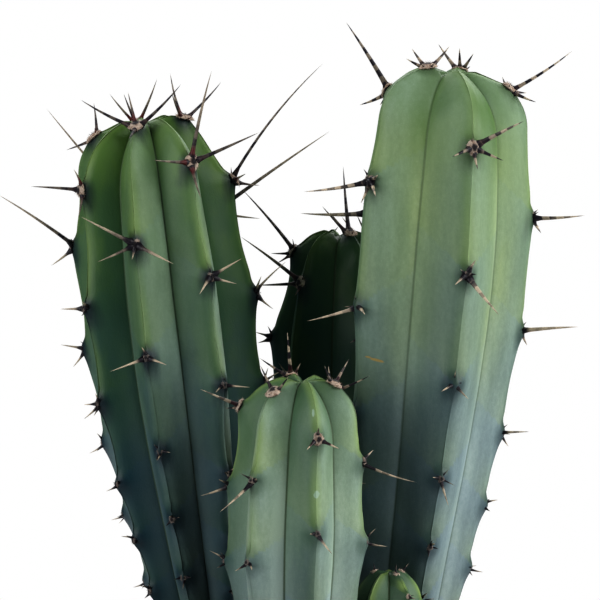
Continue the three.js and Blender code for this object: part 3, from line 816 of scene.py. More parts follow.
class SkinSettings(bpy.types.PropertyGroup):
    """The fine relief and the colours of the skin."""

    crest_rounding: number("Crest Rounding", "How far a rib's edge is rounded off, in mm", 0.95)
    fullness: number("Fullness", "How far the flanks swell over the packed model's, in mm", 0.45)
    groove_crease: number("Groove Crease", "How deep the narrow crease in a groove is, in mm", 0.35)
    areole_swell: number("Areole Swell", "How far the rib swells at an areole, in mm", 0.9)
    waves: number("Waves", "Height of the flanks' gentle waves, in mm", 0.35)
    green: paint("Green", "Bare skin near the tip", (0.104, 0.193, 0.045))
    dark_green: paint("Dark Green", "Bare skin further down", (0.046, 0.114, 0.048))
    # Deep Green, further down the stems, is partly old skin and partly painted shade between the stems.
    deep_green: paint("Deep Green", "Bare skin of the old stem", (0.012, 0.056, 0.07))
    bloom: paint("Bloom", "Waxy bloom near the tip", (0.31, 0.41, 0.29))
    old_bloom: paint("Old Bloom", "Waxy bloom further down", (0.37, 0.46, 0.46))
    crest_line: paint("Crest Line", "Line along a rib's edge", (0.27, 0.37, 0.12))
    # The groove line is painted shade in the crease of a groove.
    groove_line: paint("Groove Line", "Line in a groove", (0.03, 0.06, 0.012))
    # The smudge is partly darker skin where the wax is gone and partly painted shadow under an areole.
    smudge: paint("Smudge", "Dark blot round an areole", (0.012, 0.022, 0.035))
    bark: paint("Bark", "Cork at the foot of an old stem", (0.3, 0.22, 0.13))


class SpineSettings(bpy.types.PropertyGroup):
    """The make and the colours of the spines."""

    sides: count("Sides", "Sides of a spine", 8, 3)
    rings: count("Rings", "Faces along a spine", 12, 2)
    swell: number("Swell", "How much thicker the bulb is than the spine", 1.2)
    swell_length: number("Swell Length", "Length of the bulb, in mm", 3.0)
    dark: paint("Dark", "Young shaft and bulb", (0.012, 0.008, 0.014))
    pale: paint("Pale", "Old shaft", (0.56, 0.46, 0.34))
    ruby: paint("Ruby", "Base of a young spine", (0.12, 0.014, 0.012))


class WoolSettings(bpy.types.PropertyGroup):
    """The felt pads that the spines grow from."""

    pad: paint("Pad", "Young felt", (0.62, 0.5, 0.4))
    weathered: paint("Weathered", "Old felt", (0.1, 0.085, 0.08))
    rust: paint("Rust", "Brown tufts in young felt", (0.2, 0.085, 0.035))
    middle: paint("Middle", "Felt among the bulbs", (0.02, 0.014, 0.016))
    hair_length: number("Hair Length", "Length of the felt's hairs, in mm", 0.9)
    hair_density: number("Hair Density", "Hairs for each square metre", 3.2e6)


class SoilSettings(bpy.types.PropertyGroup):
    """The potting soil and the grit in it."""

    clod_height: number("Clod Height", "Height of the soil's crumbs, in mm", 1.2)
    soil: paint("Soil", "Damp soil", (0.05, 0.032, 0.02))
    stones: number("Stones", "Stones for each square metre", 60000)
    stone_size: number("Stone Size", "Radius of a stone, in mm", 1.5)


class PotSettings(bpy.types.PropertyGroup):
    """The turned clay pot."""

    sides: count("Sides", "Faces round the pot", 160, 16)
    steps: count("Steps", "Faces along its outline", 120, 16)
    clay: paint("Clay", "Fired clay", (0.42, 0.155, 0.07))
    lime: paint("Lime", "Lime bloom on the clay", (0.62, 0.5, 0.4))


class StageSettings(bpy.types.PropertyGroup):
    """The floor, the lights and the camera."""

    elevation: number("Elevation", "How far the camera looks down", math.radians(9), subtype="ANGLE")
    distance: number("Distance", "From the camera to the plant", 1.0, unit="LENGTH")
    width: number("Width", "How much the picture takes in", 0.21, unit="LENGTH")
    look_height: number("Look Height", "Height of the picture's middle", 0.294, unit="LENGTH")
    floor_radius: number("Floor Radius", "Radius of the floor", 0.6, unit="LENGTH")


def settings(name):
    return getattr(bpy.context.scene, "cactus_" + name)


# Where the skin's rows lie in the dome's dimple, as shares of the way out of it, and on the root.
DIMPLE_ROWS = (0.15, 0.3, 0.45, 0.6, 0.75, 0.88)
ROOT_ROWS = (0.2, 0.5, 0.8, 1)


def skin_rows(stem):
    """Depths of the rows from the rim of the dome's dimple down to the root's end."""
    step = stem.fineness[1]
    start, end = stem.dome * 0.05, stem.dome * 1.2
    dome_rows = start + (end - start) * np.linspace(0, 1, int(end / step) + 8) ** 1.6
    body_rows = np.arange(dome_rows[-1] + step, stem.length + 2, step)
    roots = stem.length + ROOT_LENGTH * np.array(ROOT_ROWS)
    return np.concatenate([dome_rows, body_rows, roots])


def skin_grid(stem, rib, depths):
    """Points of one rib, from one groove to just short of the next, and what the material reads at each."""
    even = np.linspace(0, 1, stem.fineness[0] + 1)
    shares = mix(even, 0.5 - 0.5 * np.cos(np.pi * even), 0.6)
    crest = stem.crest_point(rib, depths)
    bulge = FLANK_BULGE * stem.girth(depths) * stem.domed(depths / stem.dome)
    columns, from_crest, from_groove, sides = [], [], [], []
    for turn, order, side in ((rib.before, shares[::-1], -1), (rib.after, shares[1:-1], 1)):
        groove = stem.groove_point(turn, depths)
        width = np.linalg.norm(crest - groove, axis=-1)
        middle = stem.outward(mix(rib.turn, turn, 0.5))
        for share in order:
            columns.append(mix(crest, groove, share) + middle * (bulge * share * (1 - share))[:, None])
            from_crest.append(share * width)
            from_groove.append((1 - share) * width)
            sides.append(side)
    points, from_crest = np.stack(columns, 1), np.stack(from_crest, 1)

    areoles = np.array([stem.crest_point(rib, depth) for depth in rib.depths])
    reach = np.linalg.norm(points[:, :, None] - areoles, axis=-1)
    depths = np.repeat(depths[:, None], len(sides), 1)
    slanted = depths + CHEVRON_SLOPE * from_crest
    place = np.searchsorted(rib.depths, slanted, side="right")
    upper = rib.depths[np.clip(place - 1, 0, None)]
    lower = rib.depths[np.clip(place, 0, len(rib.depths) - 1)]
    phase = np.where(lower > upper, (slanted - upper) / np.where(lower > upper, lower - upper, 1), 0.5)

    look = LOOKS[stem.name]
    # Each flank's bloom, near the tip and further down, holds painted light and shade besides the wax.
    before, after = np.array(rib.bloom or [look.bloom] * 2)
    share_after = rise(-BLOOM_BLEND, BLOOM_BLEND, from_crest * sides)
    near_tip, further_down = (mix(before[i], after[i], share_after) for i in (0, 1))
    # Painted shade at the very tip, where a rib's top is under 1.
    tip_shade = mix(mix(*rib.top, share_after), 1, rise(*TIP_SHADE_DEPTHS, depths))
    return points, {
        "from_crest": from_crest,
        "from_groove": np.stack(from_groove, 1),
        "depth": depths + look.older,
        "phase": np.where(place == 0, 0.45, phase),
        "bloom": mix(near_tip, further_down, rise(*BLOOM_DEPTHS, depths)) * tip_shade,
        "from_areole": reach.min(-1),
        "below_areole": depths - rib.depths[reach.argmin(-1)],
        "below_tip": depths,
        "above_soil": stem.length - depths,
    }


def skin_relief(stem, points, numbers):
    """How far each point of the skin is raised by its rounded crests, creases, seats and waves."""
    skin = settings("skin")
    size = mix(0.35, 1, stem.crest[1] / FULL_GROWN_RADIUS)
    crest, groove, areole = (numbers["from_" + name] for name in ("crest", "groove", "areole"))
    above = np.hypot(numbers["below_areole"] + NOTCH_ABOVE * size, crest)
    height = skin.fullness - skin.crest_rounding * dent(crest, CREST_WIDTH * size)
    height -= skin.groove_crease * dent(groove, CREASE_WIDTH * size)
    height += skin.areole_swell * dent(areole, SWELL_WIDTH * size)
    height -= NOTCH_DEPTH * dent(above, NOTCH_WIDTH * size)
    drawn_out = points * np.array([1, 1, 0.45])
    height += skin.waves * (roughen(drawn_out, 11, 3) + 0.3 * roughen(drawn_out, 4, 7))
    return height * size * mix(0.6, 1, rise(0.0, 3.0, groove))


def skin_mesh(stem):
    """The fine skin of one stem, with the numbers that its material reads at each point."""
    depths = skin_rows(stem)
    grids = [skin_grid(stem, rib, depths) for rib in stem.ribs]
    points = np.concatenate([grid for grid, numbers in grids], 1)
    numbers = {key: np.concatenate([numbers[key] for grid, numbers in grids], 1) for key in grids[0][1]}
    normals = unit(np.cross(np.roll(points, -1, 1) - np.roll(points, 1, 1), np.gradient(points, axis=0)))
    inward = np.sum(normals * (points - stem.axis(depths)[:, None]), -1, keepdims=True) < 0
    points = points + np.where(inward, -normals, normals) * skin_relief(stem, points, numbers)[..., None]

    shares = np.array(DIMPLE_ROWS)[:, None, None]
    apex = stem.axis(np.array(stem.dip))
    offset = points[:1] - apex
    lift = (offset @ stem.up)[..., None]
    dimple = apex + (offset - lift * stem.up) * shares + stem.up * (lift * rise(0, 1, shares))
    points = np.concatenate([dimple, points])
    poles = [apex, stem.axis(np.array(stem.length + ROOT_LENGTH))]
    faces = stack_grid(*points.shape[:2])
    mesh = new_mesh("skin_" + stem.name, np.concatenate([points.reshape(-1, 3), poles]), faces)
    for key, value in numbers.items():
        value = np.concatenate([np.repeat(value[:1], len(DIMPLE_ROWS), 0), value])
        add_attribute(mesh, key, np.append(value.ravel(), [value[0].mean(), value[-1].mean()]))
    return mesh


def skin_group():
    """Colour, roughness and height of the skin, from the numbers at each point."""
    colors = "green dark_green deep_green bloom old_bloom crest_line groove_line smudge bark".split()
    inputs = {name.replace("_", " ").title(): rgba(getattr(settings("skin"), name)) for name in colors}
    amounts = {"Smudge Amount": 1.0, "Line Amount": 0.4, "Groove Amount": 0.6, "Olive Amount": 0.0}
    nodes, given = new_group("cactus skin", {**inputs, **amounts})
    blend, read, place = nodes.blend, nodes.read, nodes.object_place()
    crest, groove, depth = read("from_crest"), read("from_groove"), read("depth")
    areole, below, phase = read("from_areole"), read("below_areole"), read("phase")
    soil, tip = read("above_soil"), read("below_tip")
    patches, specks, grain = mottled(nodes, place, 14.0, 0.5, 2.2)
    streaks = nodes.noise(place, 5, 4.0, 0.6, stretch=7)
    fine = nodes.noise(place, 1.3, 3.0, 0.6, stretch=1.6)

    # The flesh: deeper green down the stem and in patches; further down the dark, bluish green is partly old
    # skin and partly painted shade between the stems.
    reach = depth + patches.rise(0, 1, -14, 14)
    color = blend(reach.rise(0, 60), given["Green"], given["Dark Green"])
    color = blend(reach.rise(50, 130), color, given["Deep Green"])

    # The bloom, with each flank's painted light and shade: thickest in the grooves but for the newest growth,
    # as thicker wax and as painted light that lifts the grooves' shade; thin at the areoles; thinner on the
    # crests low down, as wear and painted shade; greyer down the stem.
    fresh = groove.rise(1, 9, 0.6, 0) * tip.rise(14, 45, 1, 0)
    settled = groove.rise(1, 8, 0.09, 0) * depth.rise(60, 120)
    worn_and_shaded = crest.rise(0, 4, 0.2, 0) * depth.rise(70, 120)
    amount = read("bloom") * streaks.rise(0.3, 0.72, 0.86, 1.08) * fine.rise(0.25, 0.75, 0.9, 1.06)
    amount = amount * groove.rise(1, 6, 1.25, 1) * (1 - fresh) + settled
    amount = (amount * areole.rise(2.5, 8, 0.5, 1) * (1 - worn_and_shaded)).clamped()
    color = blend(amount, color, blend(depth.rise(20, 150), given["Bloom"], given["Old Bloom"]))

    # Warmer green towards the next areole, with an edge that slants up to the grooves.
    warm = phase.rise(0.2, 1) * crest.rise(0, 11, 1, 0.3)
    color = blend(warm, color, nodes.tint(color, (1.1, 1.06, 0.8)))

    # Olive towards the grooves of a stem that has grown in full light.
    lit = tip.rise(8, 30) * given["Olive Amount"]
    olive = groove.rise(0.5, 14, 1, 0.2) * depth.rise(85, 130, 1, 0) * lit
    olive = (olive * patches.rise(0, 1, 0.75, 1.25)).clamped()
    color = blend(olive, color, nodes.tint(color, (1.2, 1.13, 0.62)))

    # The yellow-green line along the crest, strongest towards the next areole.
    line = (crest + (streaks - 0.5) * 2).rise(0, 3.8, 1, 0) * phase.rise(0.05, 0.6, 0.1, 1)
    line = line * given["Line Amount"] * areole.rise(1.5, 4) * depth.rise(50, 120, 1, 0.1)
    color = blend(line, color, given["Crest Line"])

    # Painted shade: the dark line in the groove's crease.
    color = blend(groove.rise(0.1, 0.7, 1, 0) * given["Groove Amount"], color, given["Groove Line"])

    # The blue-black smudge round an areole, drawn out below it: darker skin where the wax is gone, and
    # painted shadow under the areole's felt and spines.
    drawn = below.rise(-3, 8, 1.25, 0.7) * areole + (streaks - 0.5) * 5
    smudged = drawn.rise(2, 7.5, 0.88, 0) * given["Smudge Amount"] * tip.rise(80, 170, 1, 0.5)
    color = blend(smudged, color, given["Smudge"])

    # Corky bark at the foot.
    corky = (soil + (patches - 0.5) * 9).rise(2, 11, 0.9, 0)
    bark = blend(streaks.rise(0.35, 0.65), given["Bark"], nodes.tint(given["Bark"], (0.5, 0.45, 0.4)))
    color = blend(corky, color, bark)

    # Pale specks of wax.
    color = blend(specks * (amount * 0.18), color, (0.6, 0.68, 0.6, 1))
    roughness = nodes.math("MAXIMUM", amount.rise(0, 1, 0.42, 0.62), corky * 0.9)
    height = grain * corky.rise(0, 1, 0.35, 3) + fine * 0.5
    return nodes.give({"Color": color, "Roughness": roughness, "Height": height})


def mark_group():
    """1 inside a small ragged mark on the front of a stem, and 0 outside it."""
    inputs = {"Vector": "Vector", "Middle": "Vector", "Half Width": 1.0, "Half Height": 1.0, "Slope": 0.0}
    nodes, given = new_group("old mark", inputs)
    away = nodes.parts(given["Vector"] - given["Middle"])
    across, back, up = (away[axis] * (1 / MM) for axis in "XYZ")
    up = up - across * given["Slope"]
    ragged = nodes.noise(given["Vector"], 0.9, 3.0) * 1.6
    reach = (across / given["Half Width"]) ** 2 + (up / given["Half Height"]) ** 2 + ragged
    return nodes.give({"Amount": reach.rise(1.5, 2.3, 0.9, 0) * back.rise(16, 20, 1, 0)})


def skin_material(stem, group, mark):
    finish = Finish("skin of " + stem.name)
    look = LOOKS[stem.name]
    # The groove amount sets the painted shade in the grooves; the smudge amount, the smudge with its painted
    # shadow.
    amounts = {"Smudge": look.smudge, "Line": look.line, "Groove": look.crease, "Olive": look.olive}
    skin = finish.place_group(group, {name + " Amount": amount for name, amount in amounts.items()})
    color, place = skin["Color"], finish.object_place()
    for name, (x, z), (half_width, half_height), slope, mark_color in MARKS:
        if name == stem.name:
            middle = (x * MM, (stem.tip_point[1] - stem.crest[1]) * MM, z * MM)
            feeds = {"Vector": place, "Middle": middle, "Half Width": half_width, "Half Height": half_height}
            marked = finish.place_group(mark, {**feeds, "Slope": slope})
            color = finish.blend(marked, color, mark_color)
    finish.feed(finish.shader["Roughness"], skin["Roughness"])
    finish.shader["Specular IOR Level"].default_value = 0.35
    return finish.done(color, skin["Height"], 0.12)


class CACTUS_OT_grow_skins(bpy.types.Operator):
    """Grows the ribbed skin of each stem"""

    bl_idname = "cactus.grow_skins"
    bl_label = "Grow Skins"

    def execute(self, context):
        group, mark = skin_group(), mark_group()
        for stem in STEM_FORMS:
            material = skin_material(stem, group, mark)
            add_piece("skin_" + stem.name, skin_mesh(stem), material, [stem.name])
        return {"FINISHED"}


def spine_rows(areoles):
    """Each spine's areole, clock, splay, length, and 1 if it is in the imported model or 0 if it isn't."""
    rows = []
    for areole in areoles:
        kept = []
        for clock, splay, length in areole.spines:
            tried = (length * share for share in TRIED_SHARES)
            reach = next((r for r in tried if r >= SHORTEST_SPINE and areole.fits(clock, splay, r)), None)
            if reach:
                kept.append((areole, clock, splay, reach, 1.0))
        rows += kept
        clocks = sorted(clock % 360 for _, clock, splay, _, _ in kept if splay > 40) or [0]
        wanted = LOOKS[areole.stem.name].spines - (1 if areole.age > 0.3 else 0)
        for i in range(wanted - len(kept)):
            gap, start = max(((b - a - 1) % 360 + 1, a) for a, b in zip(clocks, clocks[1:] + clocks[:1]))
            clock = (start + gap * mix(0.4, 0.6, draw(areole.seed + 31 + i))) % 360
            clocks = sorted([*clocks, clock])
            splay = mix(*SHORT_SPLAY, draw(areole.seed + 37 + i))
            length = mix(*SHORT_SPINE, draw(areole.seed + 41 + i)) * max(areole.size, SMALLEST_AREOLE)
            if areole.fits(clock, splay, length):
                rows.append((areole, clock, splay, length, 0.0))
    return rows


def spine_base(areoles):
    """One point for each spine, with the numbers that shape and colour it."""
    roots, rows = [], []
    for i, (areole, clock, splay, length, packed) in enumerate(spine_rows(areoles)):
        direction, lean = areole.direction(clock, splay)
        root = areole.point - areole.out * SPINE_SUNK + lean * min(1.1, 0.5 + splay / 90) * areole.size
        reach = areole.point + direction * length - root
        way, side = unit(reach), unit(lean - direction * np.dot(lean, direction))
        look = LOOKS[areole.stem.name]
        old = float(rise(0.22, 0.55, areole.age))
        girth = look.girth * mix(*SPINE_RADIUS, min(1, length / THICK_SPINE_LENGTH))
        bend = SPINE_BEND if length > SPINE_BEND_FROM else 0.02
        roots.append(root)
        rows.append({
            "direction": way,
            "lean": unit(side - way * np.dot(side, way)),
            "length": np.linalg.norm(reach),
            "girth": girth * mix(0.62, 1, packed) * mix(1, 0.72, old),
            "bulb": look.bulb * mix(0.5, 1, packed) * mix(1, 0.4, old),
            "flat": 0.7 if splay < 60 and length > 12 else 1,
            "bend": bend + 0.02 * (draw(i * 1.7) - 0.5),
            "age": areole.age,
            "seed": draw(i * 3.1 + 0.5),
            "bands": look.bands * mix(0.4, 1, draw(i * 2.3 + 0.9)),
            "ruby": look.ruby,
        })
    mesh = new_mesh("spine roots", roots, [])
    for key in rows[0]:
        add_attribute(mesh, key, [row[key] for row in rows])
    return mesh


def spine_tree():
    """Grows a tapered, bulbed and slightly bent spine from each point, to the numbers held there."""
    nodes, given = new_growth("grow spines", {"Sides": 8, "Rings": 12, "Swell": 0.9, "Swell Length": 2.6})
    recall, position = nodes.recall, nodes.position()
    feeds = {"Vertices": given["Sides"], "Side Segments": given["Rings"], "Radius Top": 0.0, "Depth": 1.0}
    cone = nodes.add("GeometryNodeMeshCone", {**feeds, "Radius Bottom": 1.0}, "Mesh", fill_type="NGON")
    parts = nodes.parts(position)
    width = nodes.math("MAXIMUM", 1 - parts["Z"], 0.0001)
    cone = nodes.store(cone, "along", parts["Z"])
    cone = nodes.store(cone, "ring_x", parts["X"] / width)
    cone = nodes.store(cone, "ring_y", parts["Y"] / width)
    points = nodes.store(given["Geometry"], "root", position, data_type="FLOAT_VECTOR")
    spines = nodes.realized(nodes.instances(points, cone))
    along, length = recall("along"), recall("length") * MM
    root, direction, lean = (recall(name, "FLOAT_VECTOR") for name in ("root", "direction", "lean"))
    bulb = (along * recall("length")).rise(0, given["Swell Length"], 1, 0)
    taper = (1 - along).clamped() ** 0.8
    radius = taper * (bulb * (given["Swell"] * recall("bulb")) + 1) * recall("girth") * MM
    across = nodes.math("CROSS_PRODUCT", direction, lean)
    ring = lean * (recall("ring_x") * recall("flat")) + across * recall("ring_y")
    arch = along * (1 - along) * 4 * recall("bend")
    place = root + direction * (along * length) + lean * (arch * length) + ring * radius
    spines = nodes.add("GeometryNodeSetShadeSmooth", {"Geometry": nodes.moved(spines, place)})
    return nodes.finish(spines, given["Material"])


def spine_material():
    """Dark bulb, red above it while young, and a shaft from black when young to banded tan when old."""
    spine, finish = settings("spine"), Finish("spine", 0.45)
    read, place = finish.read, finish.object_place()
    along, age, seed = read("along"), read("age"), read("seed")
    from_root = along * read("length")
    wander = finish.noise(place, 1.6, 3.0)
    shaft = (along + (wander * 0.3 + age.rise(0.2, 0.4, 0, 0.4))).rise(0.2, 0.75)
    paleness = (shaft * ((age.rise(0.03, 0.3, 0, 0.75) + seed * 0.45) * 1.1)).clamped()
    ring = finish.math("SINE", from_root * 1.3 + seed * 40 + wander * 2.5).rise(-0.25, 0.25, -0.5, 0.6)
    paleness = (paleness + ring * read("bands")).clamped() * from_root.rise(1.6, 3.6)
    color = finish.blend(paleness, rgba(spine.dark), rgba(spine.pale))
    red = from_root.rise(1.3, 2.4) * from_root.rise(3.2, 5.6, 1, 0) * age.rise(0.08, 0.2, 1, 0)
    red = red * (seed.rise(0.3, 0.6, 0.15, 0.9) * read("ruby"))
    return finish.done(finish.blend(red, color, rgba(spine.ruby)), finish.noise(place, 0.5, 3.0), 0.08)


class CACTUS_OT_set_spines(bpy.types.Operator):
    """Sets the spines in the areoles, with geometry nodes"""

    bl_idname = "cactus.set_spines"
    bl_label = "Set Spines"

    def execute(self, context):
        spine = settings("spine")
        values = {"Sides": spine.sides, "Rings": spine.rings, "Swell": spine.swell}
        values |= {"Swell Length": spine.swell_length, "Material": spine_material()}
        add_piece("spines", grow(spine_base(all_areoles()), spine_tree(), values))
        return {"FINISHED"}


def pad_mesh(areoles, rings=5, sides=14):
    """A small domed felt pad on each areole, sunk a little into the rib."""
    points, faces, ages, rims = [], [], [], []
    turns = 2 * np.pi * np.arange(sides) / sides
    for areole in areoles:
        young = 1 - float(rise(0.0, 0.35, areole.age))
        size = max(areole.size, SMALLEST_AREOLE) * mix(0.6, 1.1, young)
        tall, wide, thick = (mix(*ends, young) * size for ends in (PAD_TALL, PAD_WIDE, PAD_THICK))
        lumps = 1 + 0.12 * np.sin(turns * 3 + areole.seed) + 0.06 * np.sin(turns * 5 + areole.seed * 2)
        up, across = lumps * np.cos(turns), lumps * np.sin(turns)
        start = len(points)
        for k in range(rings):
            slope = np.pi * 0.5 * k / (rings - 0.35)
            middle = areole.point + areole.out * ((thick + PAD_SUNK) * math.sin(slope) - PAD_SUNK)
            ring = areole.along * (tall * up)[:, None] + areole.right * (wide * across)[:, None]
            points += list(middle + ring * math.cos(slope))
            rims += [math.cos(slope)] * sides
        points += [areole.point + areole.out * thick, areole.point - areole.out * PAD_SUNK]
        rims += [0, 1]
        ages += [areole.age] * (rings * sides + 2)
        top = start + rings * sides
        for i in range(sides):
            j = (i + 1) % sides
            for row in range(start, top - sides, sides):
                faces.append((row + j, row + i, row + sides + i, row + sides + j))
            faces.append((top - sides + j, top - sides + i, top))
            faces.append((start + i, start + j, top + 1))
    mesh = new_mesh("pads", points, faces)
    add_attribute(mesh, "age", ages)
    add_attribute(mesh, "rim", rims)
    return mesh


def wool_tree():
    """Covers the pads with short hairs that stand out of them at all angles."""
    inputs = {"Density": 1e6, "Hair Length": 0.9, "Hair Radius": 0.05, "Seed": 5}
    nodes, given = new_growth("grow wool", inputs)
    spread = nodes.scatter(given)
    feeds = {"Vertices": 3, "Side Segments": 1, "Radius Top": 0.0, "Radius Bottom": given["Hair Radius"] * MM}
    feeds["Depth"] = given["Hair Length"] * MM
    hair = nodes.add("GeometryNodeMeshCone", feeds, "Mesh", fill_type="NONE")
    tilt = nodes.rotation(nodes.random((-0.9, -0.9, -3.1), (0.9, 0.9, 3.1), given["Seed"]))
    feeds = {0: spread["Rotation"], 1: tilt}
    turned = nodes.add("FunctionNodeRotateRotation", feeds, rotation_space="LOCAL")
    hairs = nodes.instances(spread, hair, Rotation=turned, Scale=nodes.random(0.5, 1.2))
    return nodes.finish(nodes.join(given["Geometry"], nodes.realized(hairs)), given["Material"])


def wool_material():
    """Pale felt with brown tufts when young, grey when old, and dark among the bulbs of the spines."""
    wool, finish = settings("wool"), Finish("areole wool", 0.9)
    place = finish.object_place()
    patchy = finish.noise(place, 1.2, 3.0) - 0.5
    weathered = (finish.read("age").rise(0.04, 0.35, 0.1, 0.85) + patchy * 0.9).clamped()
    tufts = finish.noise(place, 0.9, 2.0).rise(0.46, 0.62, 0, 0.6)
    young = finish.blend(tufts, rgba(wool.pad), rgba(wool.rust))
    color = finish.blend(weathered, young, rgba(wool.weathered))
    margin = (finish.read("rim") + patchy * 0.6).rise(0.3, 0.6)
    finish.shader["Sheen Weight"].default_value = 0.3
    return finish.done(finish.blend(margin, rgba(wool.middle), color), finish.noise(place, 0.25, 2.0), 0.15)


class CACTUS_OT_set_wool(bpy.types.Operator):
    """Sets a felt pad with short hairs on each areole, with geometry nodes"""

    bl_idname = "cactus.set_wool"
    bl_label = "Set Wool"

    def execute(self, context):
        wool = settings("wool")
        values = {"Density": wool.hair_density, "Hair Length": wool.hair_length, "Material": wool_material()}
        add_piece("areole_wool", grow(pad_mesh(all_areoles()), wool_tree(), values))
        return {"FINISHED"}


def outer_radius(z):
    return mix(POT_FOOT_RADIUS, POT_TOP_RADIUS, z / (POT_HEIGHT - RIM_HEIGHT))


def inner_radius(z):
    return outer_radius(min(z, POT_HEIGHT - RIM_HEIGHT)) - WALL


SOIL_EDGE = inner_radius(SOIL_LEVEL) - GAP

# The soil's crumbs: (size, seed, share of the clod height).
CLODS = [(9, 11, 0.9), (3.5, 12, 0.7), (1.5, 13, 0.35)]


def soil_top(x, y):
    """Height of the soil's crumbly surface."""
    r = np.hypot(x, y) / SOIL_EDGE
    heap = SOIL_HEAP * (1 - rise(0.3, 1.0, r)) - 1.2 * rise(0.85, 1.0, r)
    flat = np.stack([x, y, np.zeros_like(x)], -1)
    clods = sum(roughen(flat, size, seed) * share for size, seed, share in CLODS)
    return SOIL_LEVEL + heap + settings("soil").clod_height * clods * (1 - 0.4 * rise(0.9, 1, r))


def soil_mesh(rings=90, sides=240):
    """The soil as one closed body: its crumbly top, its side against the pot and its underside."""
    cosines, sines = ring_turns(sides)
    rows = []
    for share in np.linspace(0, 1, rings + 1)[1:]:
        x, y = SOIL_EDGE * share * cosines, SOIL_EDGE * share * sines
        rows.append(np.stack([x, y, soil_top(x, y)], -1))
    under_rim, floor = POT_HEIGHT - RIM_HEIGHT, WALL + GAP
    for z in (under_rim, 0.66 * under_rim, 0.33 * under_rim, floor):
        radius = inner_radius(z) - GAP
        rows.append(np.stack([radius * cosines, radius * sines, np.full(sides, float(z))], -1))
    poles = [[0, 0, soil_top(np.zeros(1), np.zeros(1))[0]], [0, 0, floor]]
    return new_mesh("soil", np.concatenate([*rows, poles]), stack_grid(len(rows), sides))


def soil_material():
    """Damp soil with paler patches, fibres and specks."""
    finish = Finish("potting soil", 0.95)
    place = finish.object_place()
    patches, specks, grain = mottled(finish, place, 9.0, 0.9)
    fibres = finish.noise(place, 2.2, 5.0, 0.7).rise(0.56, 0.68)
    color = finish.blend(patches, rgba(settings("soil").soil), (0.095, 0.062, 0.038, 1))
    color = finish.blend(fibres * 0.6, color, (0.17, 0.105, 0.06, 1))
    color = finish.blend(specks * 0.5, color, (0.32, 0.28, 0.22, 1))
    return finish.done(color, grain, 0.8)


class CACTUS_OT_fill_soil(bpy.types.Operator):
    """Fills the pot with crumbly soil"""

    bl_idname = "cactus.fill_soil"
    bl_label = "Fill Soil"

    def execute(self, context):
        add_piece("potting_soil", soil_mesh(), soil_material(), ["soil"])
        return {"FINISHED"}


def grit_base(step=2.5):
    """The open ground between the stems, where grit can lie."""
    edge = SOIL_EDGE - 2
    ticks = np.arange(-edge, edge + step, step)
    x, y = (grid.ravel() for grid in np.meshgrid(ticks, ticks))
    count = len(ticks)
    faces = []
    for i, j in np.ndindex(count - 1, count - 1):
        middle = np.array([ticks[j] + step / 2, ticks[i] + step / 2])
        clear = all(np.hypot(*(middle - stem.foot_point[:2])) > stem.crest[2] - 1 for stem in STEM_FORMS)
        if np.hypot(*middle) < edge and clear:
            a = i * count + j
            faces.append((a, a + 1, a + count + 1, a + count))
    return new_mesh("ground", np.stack([x, y, soil_top(x, y) + 0.1], -1), faces)


def grit_tree(shapes=3):
    """Scatters stones of a few rough shapes over the ground, each turned and sized by a fixed draw."""
    nodes, given = new_growth("scatter grit", {"Density": 60000.0, "Stone Size": 1.5, "Seed": 8})
    position, stones = nodes.position(), []
    for i in range(shapes):
        ball = nodes.add("GeometryNodeMeshIcoSphere", {"Radius": MM, "Subdivisions": 2}, "Mesh")
        swell = nodes.noise(position + (0.01 * i, 0.02 * i, 0.03), 1.4, 2.0, 0.6) * 1.5 + 0.2
        ball = nodes.moved(ball, position * swell * (1.0, 0.8, 0.62 + 0.08 * i))
        stones.append(nodes.add("GeometryNodeGeometryToInstance", {0: ball}))
    size = (nodes.random(0.0, 1.0, 21) ** 3 * 1.1 + 0.35) * given["Stone Size"]
    turn = nodes.rotation(nodes.random((-0.5, -0.5, 0), (0.5, 0.5, 6.28)))
    feeds = {"Pick Instance": True, "Rotation": turn, "Scale": size}
    placed = nodes.instances(nodes.scatter(given), nodes.join(*stones), **feeds)
    placed = nodes.store(placed, "tone", nodes.random(0.0, 1.0), domain="INSTANCE")
    return nodes.finish(placed, given["Material"])


def grit_material():
    """Stones from dark to pale grey, with soil on them."""
    finish = Finish("grit", 0.85)
    place, tone = finish.object_place(), finish.read("tone")
    soiled = finish.noise(place, 0.8, 4.0).rise(0.4, 0.7, 0, 0.5)
    color = finish.blend(tone.rise(0.1, 0.6), (0.1, 0.085, 0.07, 1), (0.36, 0.3, 0.24, 1))
    color = finish.blend(tone.rise(0.8, 0.95), color, (0.55, 0.5, 0.44, 1))
    color = finish.blend(soiled, color, (0.12, 0.08, 0.055, 1))
    return finish.done(color, finish.noise(place, 0.4, 3.0), 0.25)


class CACTUS_OT_scatter_grit(bpy.types.Operator):
    """Scatters grit over the soil, with geometry nodes"""

    bl_idname = "cactus.scatter_grit"
    bl_label = "Scatter Grit"

    def execute(self, context):
        soil = settings("soil")
        values = {"Density": soil.stones, "Stone Size": soil.stone_size, "Material": grit_material()}
        add_piece("grit", grow(grit_base(), grit_tree(), values))
        return {"FINISHED"}


def pot_outline():
    """The pot's outline, from the middle of its underside to the middle of its floor."""
    under_rim = POT_HEIGHT - RIM_HEIGHT
    rim = POT_TOP_RADIUS + RIM_PROUD
    mouth = inner_radius(POT_HEIGHT)
    outline = [
        (0, 0),
        (POT_FOOT_RADIUS - POT_EDGE, 0),
        (outer_radius(POT_EDGE), POT_EDGE),
        (outer_radius(under_rim), under_rim),
        (rim - POT_EDGE, under_rim),
        (rim, under_rim + POT_EDGE),
        (rim + RIM_LEAN, POT_HEIGHT - POT_EDGE),
        (rim - RIM_LEAN, POT_HEIGHT),
        (mouth + POT_EDGE, POT_HEIGHT),
        (mouth, POT_HEIGHT - POT_EDGE),
        (mouth, under_rim),
        (inner_radius(WALL), WALL),
        (0, WALL),
    ]
    edges = [(i, i + 1) for i in range(len(outline) - 1)]
    return new_mesh("outline", [(r, 0, z) for r, z in outline], [], edges)


